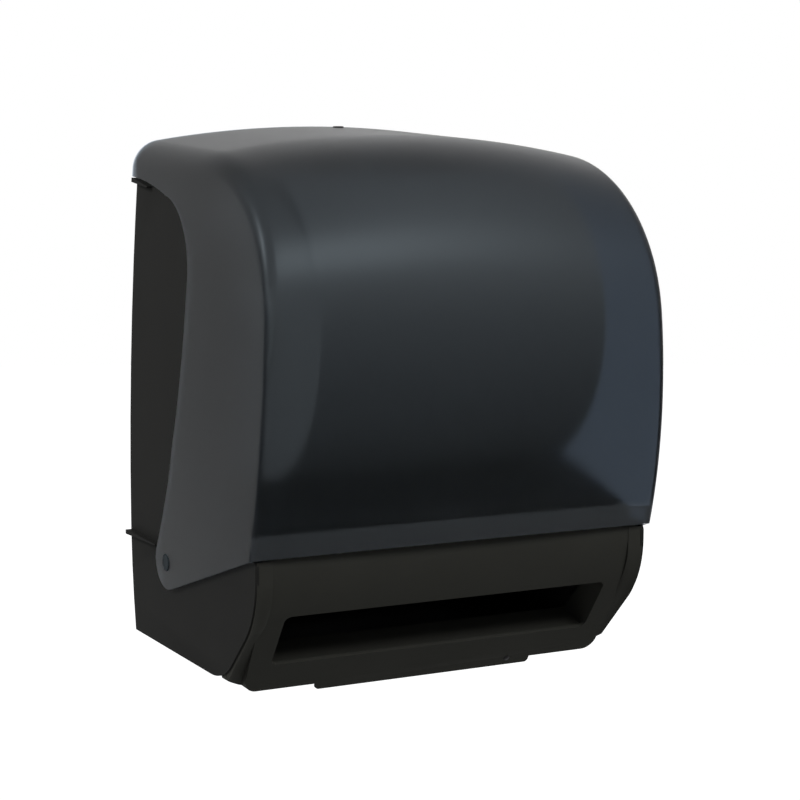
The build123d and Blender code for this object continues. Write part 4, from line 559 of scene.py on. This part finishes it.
def textured_plastic(name, tint, rough, specular, grain=0.9 * MM, depth=0.02 * MM, mottle=0.12):
    """A moulded plastic with a spark-eroded grain.

    The grain is a fine noise in the bump and the roughness, drawn coarser than the real one
    of about 0.1 mm so that it shows. A slow noise shifts the colour a little, in patches
    about 45 mm across, as pigment and handling do.
    """
    material, tree, main = surface(
        name,
        "ShaderNodeBsdfPrincipled",
        Base_Color=tint,
        Roughness=rough,
        IOR=1.5,
        Specular_IOR_Level=specular,
    )
    place = add_node(tree, "ShaderNodeTexCoord").outputs["Object"]
    fine = add_node(tree, "ShaderNodeTexNoise", {"Vector": place, "Scale": 1 / grain, "Detail": 3.0})
    slow = add_node(tree, "ShaderNodeTexNoise", {"Vector": place, "Scale": 22.0, "Detail": 4.0})
    bump = add_node(
        tree, "ShaderNodeBump", {"Height": fine.outputs["Fac"], "Strength": 0.35, "Distance": depth}
    )
    tree.links.new(bump.outputs["Normal"], main.inputs["Normal"])
    level = add_node(
        tree,
        "ShaderNodeMapRange",
        {"Value": slow.outputs["Fac"], "To Min": 1 - mottle, "To Max": 1 + mottle},
    )
    tone = add_node(
        tree, "ShaderNodeVectorMath", {0: tint[:3], "Scale": level.outputs[0]}, operation="SCALE"
    )
    tree.links.new(tone.outputs[0], main.inputs["Base Color"])
    gloss = add_node(
        tree,
        "ShaderNodeMapRange",
        {"Value": fine.outputs["Fac"], "To Min": rough - 0.06, "To Max": rough + 0.06},
    )
    tree.links.new(gloss.outputs[0], main.inputs["Roughness"])
    return material


def smoked_styrene(seen_through, wall):
    """Transparent smoked SAN, moulded with a satin face.

    The pigment is in the plastic, so the tint deepens with the way through it: each colour
    fades as the power of the length. The eye sees a blue grey that darkens and blurs what
    is behind it, a sheen only where the face is seen at a low angle, and a frosted lip.
    Rays that carry light to the towels pass straight on, and are dimmed by the pigment.
    The satin is drawn 0.7 mm across so that it shows, and its gloss shifts over about 70 mm.
    """
    material, tree, main = surface(
        "smoked_SAN_satin_moulded",
        "ShaderNodeBsdfPrincipled",
        Base_Color=(0.86, 0.93, 1.0, 1),
        Roughness=0.36,
        IOR=1.18,
        Specular_Tint=(0.44, 0.53, 0.58, 1),
    )
    output = tree.nodes["Material Output"]
    loss = -np.log(np.array(seen_through[:3])) / wall
    density = 1.02 * loss.max()
    tint = 1 - loss / density
    pigment = add_node(
        tree,
        "ShaderNodeVolumeAbsorption",
        {"Color": (*(float(c) for c in tint), 1.0), "Density": float(density)},
    )
    tree.links.new(pigment.outputs[0], output.inputs["Volume"])
    place = add_node(tree, "ShaderNodeTexCoord").outputs["Object"]
    fine = add_node(tree, "ShaderNodeTexNoise", {"Vector": place, "Scale": 1400.0, "Detail": 2.0})
    bump = add_node(
        tree, "ShaderNodeBump", {"Height": fine.outputs["Fac"], "Strength": 0.2, "Distance": 0.01 * MM}
    )
    tree.links.new(bump.outputs["Normal"], main.inputs["Normal"])
    slow = add_node(tree, "ShaderNodeTexNoise", {"Vector": place, "Scale": 14.0, "Detail": 3.0})
    level = add_node(
        tree, "ShaderNodeMapRange", {"Value": slow.outputs["Fac"], "To Min": 0.34, "To Max": 0.38}
    )
    tree.links.new(level.outputs[0], main.inputs["Roughness"])
    frost = add_node(tree, "ShaderNodeAttribute", attribute_name="frost")
    cloud = add_node(
        tree, "ShaderNodeMapRange", {"Value": frost.outputs["Fac"], "To Min": 0.995, "To Max": 0.974}
    )
    tree.links.new(cloud.outputs[0], main.inputs["Transmission Weight"])
    path = add_node(tree, "ShaderNodeLightPath").outputs
    carries_light = add_node(
        tree,
        "ShaderNodeMath",
        {0: path["Is Shadow Ray"], 1: path["Is Diffuse Ray"]},
        operation="MAXIMUM",
    )
    straight = add_node(tree, "ShaderNodeBsdfTransparent", {"Color": (0.95, 0.95, 0.95, 1)})
    both = add_node(
        tree,
        "ShaderNodeMixShader",
        {0: carries_light.outputs[0], 1: main.outputs[0], 2: straight.outputs[0]},
    )
    tree.links.new(both.outputs[0], output.inputs["Surface"])
    return material


def towel_paper(tint):
    """Wound tissue: the face has a fine emboss, and the ends show the layers as rings.

    The emboss is 3.2 mm from dot to dot, and the fibres lie in tufts about 1 mm across.
    """
    material, tree, main = surface(
        "bleached_towel_paper_wound",
        "ShaderNodeBsdfPrincipled",
        Base_Color=tint,
        Roughness=0.95,
        Specular_IOR_Level=0.1,
    )
    place = add_node(tree, "ShaderNodeTexCoord").outputs["Object"]
    centre = (0, -(ROLL_LOW.y + ROLL_HIGH.y) / 2, -(ROLL_LOW.z + ROLL_HIGH.z) / 2)
    axle = add_node(tree, "ShaderNodeMapping", {"Vector": place, "Location": centre})
    # Layers are 0.1 mm thick, drawn as rings 1.3 mm apart so that they show
    rings = add_node(
        tree,
        "ShaderNodeTexWave",
        {"Vector": axle.outputs[0], "Scale": 0.314 / (1.3 * MM), "Distortion": 1.5, "Detail": 2.0},
        wave_type="RINGS",
        rings_direction="X",
    )
    emboss = add_node(
        tree, "ShaderNodeTexVoronoi", {"Vector": place, "Scale": 1 / (3.2 * MM)}, feature="SMOOTH_F1"
    )
    fibres = add_node(tree, "ShaderNodeTexNoise", {"Vector": place, "Scale": 900.0, "Detail": 4.0})
    height = add_node(
        tree,
        "ShaderNodeMix",
        {"Factor": 0.45, "A": emboss.outputs["Distance"], "B": fibres.outputs["Fac"]},
    )
    both = add_node(
        tree, "ShaderNodeMath", {0: height.outputs["Result"], 1: rings.outputs["Fac"]}, operation="ADD"
    )
    bump = add_node(
        tree, "ShaderNodeBump", {"Height": both.outputs[0], "Strength": 0.5, "Distance": 0.15 * MM}
    )
    tree.links.new(bump.outputs["Normal"], main.inputs["Normal"])
    tone = add_node(
        tree, "ShaderNodeMapRange", {"Value": rings.outputs["Fac"], "To Min": 0.86, "To Max": 1.0}
    )
    shaded = add_node(
        tree, "ShaderNodeVectorMath", {0: tint[:3], "Scale": tone.outputs[0]}, operation="SCALE"
    )
    tree.links.new(shaded.outputs[0], main.inputs["Base Color"])
    return material


def drawn_metal(name, tint, rough, pitch, streak=0.10):
    """A metal with the lines of drawing or grinding along X, drawn coarse enough to show."""
    material, tree, main = surface(
        name, "ShaderNodeBsdfPrincipled", Base_Color=tint, Metallic=1.0, Roughness=rough
    )
    place = add_node(tree, "ShaderNodeTexCoord").outputs["Object"]
    long = add_node(tree, "ShaderNodeMapping", {"Vector": place, "Scale": (0.04, 1, 1)})
    lines = add_node(
        tree, "ShaderNodeTexNoise", {"Vector": long.outputs[0], "Scale": 1 / pitch, "Detail": 3.0}
    )
    gloss = add_node(
        tree,
        "ShaderNodeMapRange",
        {"Value": lines.outputs["Fac"], "To Min": rough - streak, "To Max": rough + streak},
    )
    tree.links.new(gloss.outputs[0], main.inputs["Roughness"])
    bump = add_node(
        tree, "ShaderNodeBump", {"Height": lines.outputs["Fac"], "Strength": 0.2, "Distance": 0.01 * MM}
    )
    tree.links.new(bump.outputs["Normal"], main.inputs["Normal"])
    return material


FINISH = {}


def finishes():
    """The object's materials, made once and kept by the record's slot names."""
    if FINISH:
        return FINISH
    c = bpy.context.scene.dispenser_finishes
    FINISH["smoked_cover"] = smoked_styrene(tuple(c.smoke), bpy.context.scene.dispenser_cover.wall)
    FINISH["black_plastic"] = textured_plastic("black_ABS_spark_eroded_moulded", tuple(c.casing), 0.7, 0.04)
    # Painted light: the same black plastic as the casing, made lighter on the nose and its flanks.
    FINISH["nose_black"] = textured_plastic("black_ABS_nose_painted_light", tuple(c.nose), 0.7, 0.04)
    FINISH["smoke_grey"] = textured_plastic("smoke_grey_acetal_turned", tuple(c.pins), 0.7, 0.04)
    FINISH["gloss_black"] = textured_plastic("black_ABS_gloss_moulded", tuple(c.inner_black), 0.3, 0.3)
    FINISH["grey_plastic"] = textured_plastic("grey_ABS_moulded", tuple(c.grey), 0.5, 0.3)
    FINISH["white_nylon"] = textured_plastic("natural_nylon_moulded", tuple(c.nylon), 0.42, 0.4)
    FINISH["steel"] = drawn_metal("steel_bar_ground", linear("#B9BCBE"), 0.3, 0.3 * MM)
    FINISH["zinc_screw"] = drawn_metal("steel_zinc_plated", linear("#C6C8C4"), 0.36, 0.5 * MM)
    FINISH["brass"] = drawn_metal("brass_turned", linear("#C9A45A"), 0.3, 0.3 * MM)
    FINISH["rubber"] = textured_plastic("nitrile_rubber_ground", linear("#2B2B2A"), 0.85, 0.2)
    FINISH["towel"] = towel_paper(tuple(c.paper))
    FINISH["core_board"] = textured_plastic("core_board_wound", tuple(c.board), 0.9, 0.1)
    FINISH["cell"] = textured_plastic("battery_jacket_lacquered", linear("#3B4A57"), 0.35, 0.5)
    FINISH["lens"] = textured_plastic("infrared_window_polished", linear("#0B0A0C"), 0.3, 0.08)
    FINISH["board"] = textured_plastic("circuit_board_solder_mask", linear("#1F4A30"), 0.4, 0.5)
    FINISH["button_plastic"] = textured_plastic("button_ABS_moulded", linear("#8C8F92"), 0.45, 0.35)
    return FINISH


def in_lip(s, places):
    """True for places on the thicker lower edge: those within its height of the chin's line."""
    _, ear_low = tangent_point(CHIN, s.ear_radius, 1)
    run = np.array(CHIN) - ear_low
    run = run / np.linalg.norm(run)
    away = (places[:, 1] - ear_low[0]) * run[1] - (places[:, 2] - ear_low[1]) * run[0]
    on_front = places[:, 1] < CHIN[0] + s.corner_chin
    return (np.abs(away) < s.lip_height + 0.2 * MM) & on_front


def drill(name, start, end, radius, middle):
    """A round cutter between two places along an X line."""
    profile = [(start, AXIS), (start, radius), (end, radius), (end, AXIS)]
    cutter = turned(name, profile, middle, 48)
    outward(cutter)
    return cutter


def pin_seats(s, shell):
    """Cuts the lock's hole in the top, and a flat seat with a hole for each hinge pin."""
    low, high = -s.top_height - 0.01, -s.top_height + 0.03
    lock = drill("lock_hole", low, high, s.lock_hole, (0, 0))
    lock.rotation_euler = (0, np.pi / 2, 0)
    lock.location = (0, s.lock_place, 0)
    cutters = [lock]
    for side in (-1, 1):
        seat, end = side * s.pin_seat_place, side * (s.half_width + 0.01)
        cutters.append(drill("pin_seat", seat, end, s.pin_seat, PIVOT))
        inner = side * (s.half_width - 0.03)
        cutters.append(drill("pin_hole", inner, end, s.pin_hole, PIVOT))
    cut(shell, *cutters)


class DISPENSER_OT_cover(bpy.types.Operator):
    """Make the smoked cover as one smooth shell with its lip, lock hole and hinge seats"""

    bl_idname = "dispenser.cover"
    bl_label = "Smoked cover"

    def execute(self, context):
        s = context.scene.dispenser_cover
        edge = rear_edge(s)
        across = np.linspace(-1, 1, COLUMNS)
        lip = 1 - s.lip_height / (s.depth + FAN[0]) / np.radians(SKIN_TURN)
        rows = np.concatenate([np.linspace(0, lip, ROWS), np.linspace(lip + LIP_STEP, 1, LIP_ROWS)])
        outer = cover_grid(s, edge, rows, across, np.zeros((len(rows), 1)))
        front = outer[-1, :, 1] < CHIN[0] + s.corner_chin
        thick = s.wall + s.lip_extra * ((rows > lip)[:, None] & front[None, :])
        inner = cover_grid(s, edge, rows, across, thick)
        n, m = len(rows), len(across)
        skin, lining = grid_faces(n, m), grid_faces(n, m, n * m)[:, ::-1]
        loop = grid_border(np.arange(n * m).reshape(n, m))
        after = np.roll(loop, -1)
        rim = np.stack([loop, after, after + n * m, loop + n * m], axis=1)
        points = np.concatenate([outer.reshape(-1, 3), inner.reshape(-1, 3)])
        shell = mesh_object("cover_shell", points, np.vstack([skin, lining, rim]))
        outward(shell)
        pin_seats(s, shell)
        frost = shell.data.attributes.new("frost", "FLOAT", "POINT")
        places = np.empty(len(shell.data.vertices) * 3)
        shell.data.vertices.foreach_get("co", places)
        frost.data.foreach_set("value", in_lip(s, places.reshape(-1, 3)).astype(float))
        shade(shell)
        settle(shell, "cover", "smoked_cover", finishes()["smoked_cover"], "cover")
        return {"FINISHED"}


class DISPENSER_OT_roll(bpy.types.Operator):
    """Make the towel roll and its paper core"""

    bl_idname = "dispenser.roll"
    bl_label = "Towel roll"

    def execute(self, context):
        s = context.scene.dispenser_roll
        middle = ((ROLL_LOW.y + ROLL_HIGH.y) / 2, (ROLL_LOW.z + ROLL_HIGH.z) / 2)
        half, r, e = s.width / 2, s.radius, s.edge
        bend = np.linspace(0, np.pi / 2, 6)
        right = np.stack([half - e + e * np.sin(bend), r - e + e * np.cos(bend)], axis=1)
        left = right[::-1] * (-1, 1)
        inner = [(half, s.core_radius), (-half, s.core_radius)]
        along = np.linspace(-half + e, half - e, 40)[1:-1]
        face = np.stack([along, np.full_like(along, r)], axis=1)
        profile = np.vstack([left, face, right, inner])
        roll = turned("towel_roll_wound", profile, middle, 160)
        outward(roll)
        shade(roll)
        settle(roll, "roll", "towel", finishes()["towel"], "towel_roll")
        moulding("roll_core", "roll_core_tube", "roll", "core_board", finishes()["core_board"])
        return {"FINISHED"}


class DISPENSER_OT_casing(bpy.types.Operator):
    """Make the black chassis, the nose and the deck"""

    bl_idname = "dispenser.casing"
    bl_label = "Casing"

    def execute(self, context):
        f = finishes()
        moulding("chassis", "chassis_moulding", "housing", "black_plastic", f["black_plastic"])
        # The nose and its flanks take the lighter black, which is painted light.
        moulding("nose_fascia", "nose_moulding", "housing", "black_plastic", f["nose_black"])
        moulding("deck", "deck_moulding", "housing", "black_plastic", f["black_plastic"])
        flanks = nose_flanks(context.scene.dispenser_cover)
        settle(flanks, "housing", "black_plastic", f["nose_black"])
        moulding("hinge_pins", "hinge_pins_turned", "cover", "black_plastic", f["smoke_grey"], 0)
        smoothed("housing", "steel", "tear_bar")
        smoothed("housing", "lens", "sensor_lens")
        smoothed("housing", "zinc_screw", "deck_screws")
        return {"FINISHED"}


class DISPENSER_OT_holder(bpy.types.Operator):
    """Make the arms and hubs that hold the roll"""

    bl_idname = "dispenser.holder"
    bl_label = "Roll holder"

    def execute(self, context):
        f = finishes()
        for side in ("left", "right"):
            moulding(f"arm_{side}", f"arm_{side}_moulding", f"{side}_arm", "grey_plastic", f["grey_plastic"])
            moulding(f"hub_{side}", f"hub_{side}_moulding", f"{side}_hub", "white_nylon", f["white_nylon"])
            smoothed(f"{side}_arm", "steel", f"hub_clip_{side}")
        smoothed("housing", "steel", "arm_pins")
        return {"FINISHED"}


class DISPENSER_OT_feed(bpy.types.Operator):
    """Make the feed rollers, the gears and the motor"""

    bl_idname = "dispenser.feed"
    bl_label = "Feed rollers and gears"

    def execute(self, context):
        smoothed("housing", "steel", "idler_pin", "motor")
        smoothed("housing", "gloss_black", "end_plate_left", "end_plate_right", "gearbox_cover")
        smoothed("housing", "white_nylon", "drive_bushes", "pinch_bushes")
        smoothed("housing", "zinc_screw", "gearbox_screws")
        smoothed("drive_roller", "steel", "drive_shaft")
        smoothed("drive_roller", "gloss_black", "drive_core")
        smoothed("drive_roller", "rubber", "drive_sleeves")
        smoothed("drive_roller", "white_nylon", "drive_gear")
        smoothed("pinch_roller", "steel", "pinch_shaft")
        smoothed("pinch_roller", "white_nylon", "pinch_roller")
        smoothed("idler", "white_nylon", "idler_gear")
        smoothed("pinion", "steel", "motor_shaft")
        smoothed("pinion", "brass", "motor_pinion")
        return {"FINISHED"}


class DISPENSER_OT_power(bpy.types.Operator):
    """Make the batteries, their tray and door, the board and the controls"""

    bl_idname = "dispenser.power"
    bl_label = "Batteries and controls"

    def execute(self, context):
        smoothed("housing", "gloss_black", "battery_tray", "control_panel")
        smoothed("housing", "cell", "battery_cells")
        smoothed("housing", "zinc_screw", "battery_contacts")
        smoothed("housing", "board", "circuit_board")
        smoothed("battery_door", "gloss_black", "battery_door")
        for control in ("feed_button", "length_switch", "delay_switch"):
            smoothed(control, "button_plastic", control)
        return {"FINISHED"}


class DISPENSER_OT_lock(bpy.types.Operator):
    """Make the lock and its keeper"""

    bl_idname = "dispenser.lock"
    bl_label = "Lock"

    def execute(self, context):
        smoothed("cover", "gloss_black", "lock_barrel")
        smoothed("lock", "gloss_black", "lock_plug")
        smoothed("lock", "zinc_screw", "lock_cam")
        smoothed("housing", "zinc_screw", "latch_keeper", "keeper_screws")
        return {"FINISHED"}


def area_lamp(name, place, size, power):
    """A soft rectangular lamp that looks at the lamps' aim and isn't seen itself."""
    lamp = bpy.data.lights.new(name, "AREA")
    lamp.shape = "RECTANGLE"
    lamp.size, lamp.size_y = size
    lamp.energy = power
    obj = bpy.data.objects.new(name, lamp)
    obj.location = place
    toward = np.array(LAMPS_AIM, float) - np.array(place, float)
    pitch = np.arctan2(np.hypot(toward[0], toward[1]), -toward[2])
    obj.rotation_euler = Euler((pitch, 0, np.arctan2(-toward[0], toward[1])))
    obj.visible_camera = False
    obj.visible_transmission = False
    bpy.context.scene.collection.objects.link(obj)


def seen_directly(tree):
    """One where a ray comes from the camera, a reflection or a clear part, else zero."""
    path = add_node(tree, "ShaderNodeLightPath").outputs
    either = add_node(
        tree, "ShaderNodeMath", {0: path["Is Camera Ray"], 1: path["Is Glossy Ray"]}, operation="MAXIMUM"
    )
    return add_node(
        tree,
        "ShaderNodeMath",
        {0: either.outputs[0], 1: path["Is Transmission Ray"]},
        operation="MAXIMUM",
    ).outputs[0]


def paper_floor(white):
    """A pale round floor that catches the shadow, and glows the more the further out it is.

    Each ring's points lie at its radius times the cosine and sine of the turn. The glow
    rises with the distance from the middle, so that the far floor is as white as what
    surrounds it.
    """
    turn = np.linspace(0, 2 * np.pi, FLOOR_SEGMENTS, endpoint=False)
    radius = np.array(FLOOR_RINGS)[:, None]
    x, y = radius * np.cos(turn), radius * np.sin(turn)
    points = np.stack([x, y, np.full(x.shape, NOSE_LOW.z - FLOOR_DROP)], axis=-1)
    index = np.arange(x.size).reshape(x.shape)
    inner, outer = index[:-1], index[1:]
    corners = (inner, outer, np.roll(outer, -1, axis=1), np.roll(inner, -1, axis=1))
    floor = mesh_object("floor", points, np.stack(corners, axis=-1).reshape(-1, 4))
    material, tree, main = surface(
        "floor_paper_matte", "ShaderNodeBsdfDiffuse", Color=linear("#B4B4B4")
    )
    place = add_node(tree, "ShaderNodeTexCoord").outputs["Object"]
    flat = add_node(tree, "ShaderNodeVectorMath", {0: place, 1: (1, 1, 0)}, operation="MULTIPLY")
    away = add_node(tree, "ShaderNodeVectorMath", {0: flat.outputs[0]}, operation="LENGTH")
    fade = add_node(
        tree,
        "ShaderNodeMapRange",
        {
            "Value": away.outputs["Value"],
            "From Min": 0.6,
            "From Max": 2.2,
            "To Min": 0.55,
            "To Max": 1.0,
        },
    )
    shown = add_node(
        tree, "ShaderNodeMath", {0: fade.outputs[0], 1: seen_directly(tree)}, operation="MULTIPLY"
    )
    glow = add_node(tree, "ShaderNodeEmission", {"Color": white, "Strength": shown.outputs[0]})
    total = add_node(tree, "ShaderNodeAddShader", {0: main.outputs[0], 1: glow.outputs[0]})
    tree.links.new(total.outputs[0], tree.nodes["Material Output"].inputs["Surface"])
    floor.data.materials.append(material)


def soft_surroundings(white):
    """White where it is seen, and a weak cool light where it lights the object."""
    world = bpy.data.worlds.new("soft_surroundings")
    world.use_nodes = True
    tree = world.node_tree
    tree.nodes.clear()
    light = add_node(
        tree, "ShaderNodeBackground", {"Color": (0.9, 0.95, 1.0, 1), "Strength": 0.18}
    )
    seen = add_node(tree, "ShaderNodeBackground", {"Color": white, "Strength": 1.0})
    mixed = add_node(
        tree, "ShaderNodeMixShader", {0: seen_directly(tree), 1: light.outputs[0], 2: seen.outputs[0]}
    )
    add_node(tree, "ShaderNodeOutputWorld", {"Surface": mixed.outputs[0]})
    bpy.context.scene.world = world


class DISPENSER_OT_stage(bpy.types.Operator):
    """Make the pale floor, the soft lamps, the white surroundings and the camera"""

    bl_idname = "dispenser.stage"
    bl_label = "Stage"

    def execute(self, context):
        scene = context.scene
        white = tuple(scene.dispenser_finishes.stage)
        paper_floor(white)
        soft_surroundings(white)
        for name, (place, size, power) in LAMPS.items():
            area_lamp(name, place, size, power)
        camera = bpy.data.cameras.new("photo_camera")
        camera.lens, camera.sensor_width = CAMERA_LENS, CAMERA_FILM
        obj = bpy.data.objects.new("photo_camera", camera)
        obj.location = CAMERA_PLACE
        obj.rotation_euler = Euler(np.radians(CAMERA_TURN))
        scene.collection.objects.link(obj)
        scene.camera = obj
        scene.view_settings.view_transform = "Standard"
        return {"FINISHED"}


class DISPENSER_PT_panel(bpy.types.Panel):
    """Sizes, colours and pieces of the dispenser"""

    bl_idname = "DISPENSER_PT_panel"
    bl_label = "Towel dispenser"
    bl_space_type = "VIEW_3D"
    bl_region_type = "UI"
    bl_category = "Dispenser"

    def draw(self, context):
        for group in ("dispenser_cover", "dispenser_roll", "dispenser_finishes"):
            settings = getattr(context.scene, group)
            box = self.layout.box()
            for name in settings.__annotations__:
                box.prop(settings, name)
        for operator in OPERATORS:
            self.layout.operator(operator.bl_idname)


OPERATORS = [
    DISPENSER_OT_cover,
    DISPENSER_OT_roll,
    DISPENSER_OT_casing,
    DISPENSER_OT_holder,
    DISPENSER_OT_feed,
    DISPENSER_OT_power,
    DISPENSER_OT_lock,
    DISPENSER_OT_stage,
]
CLASSES = [CoverSizes, RollSizes, Finishes, *OPERATORS, DISPENSER_PT_panel]


def register():
    """Adds the classes, and the settings to the scene."""
    for cls in CLASSES:
        bpy.utils.register_class(cls)
    bpy.types.Scene.dispenser_cover = PointerProperty(type=CoverSizes)
    bpy.types.Scene.dispenser_roll = PointerProperty(type=RollSizes)
    bpy.types.Scene.dispenser_finishes = PointerProperty(type=Finishes)


def unregister():
    """Takes the settings and the classes away again."""
    for name in ("dispenser_cover", "dispenser_roll", "dispenser_finishes"):
        delattr(bpy.types.Scene, name)
    for cls in reversed(CLASSES):
        bpy.utils.unregister_class(cls)


def main():
    """Makes every piece and the stage."""
    register()
    bpy.ops.dispenser.cover()
    bpy.ops.dispenser.roll()
    bpy.ops.dispenser.casing()
    bpy.ops.dispenser.holder()
    bpy.ops.dispenser.feed()
    bpy.ops.dispenser.power()
    bpy.ops.dispenser.lock()
    bpy.ops.dispenser.stage()
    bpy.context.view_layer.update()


if __name__ == "__main__":
    main()
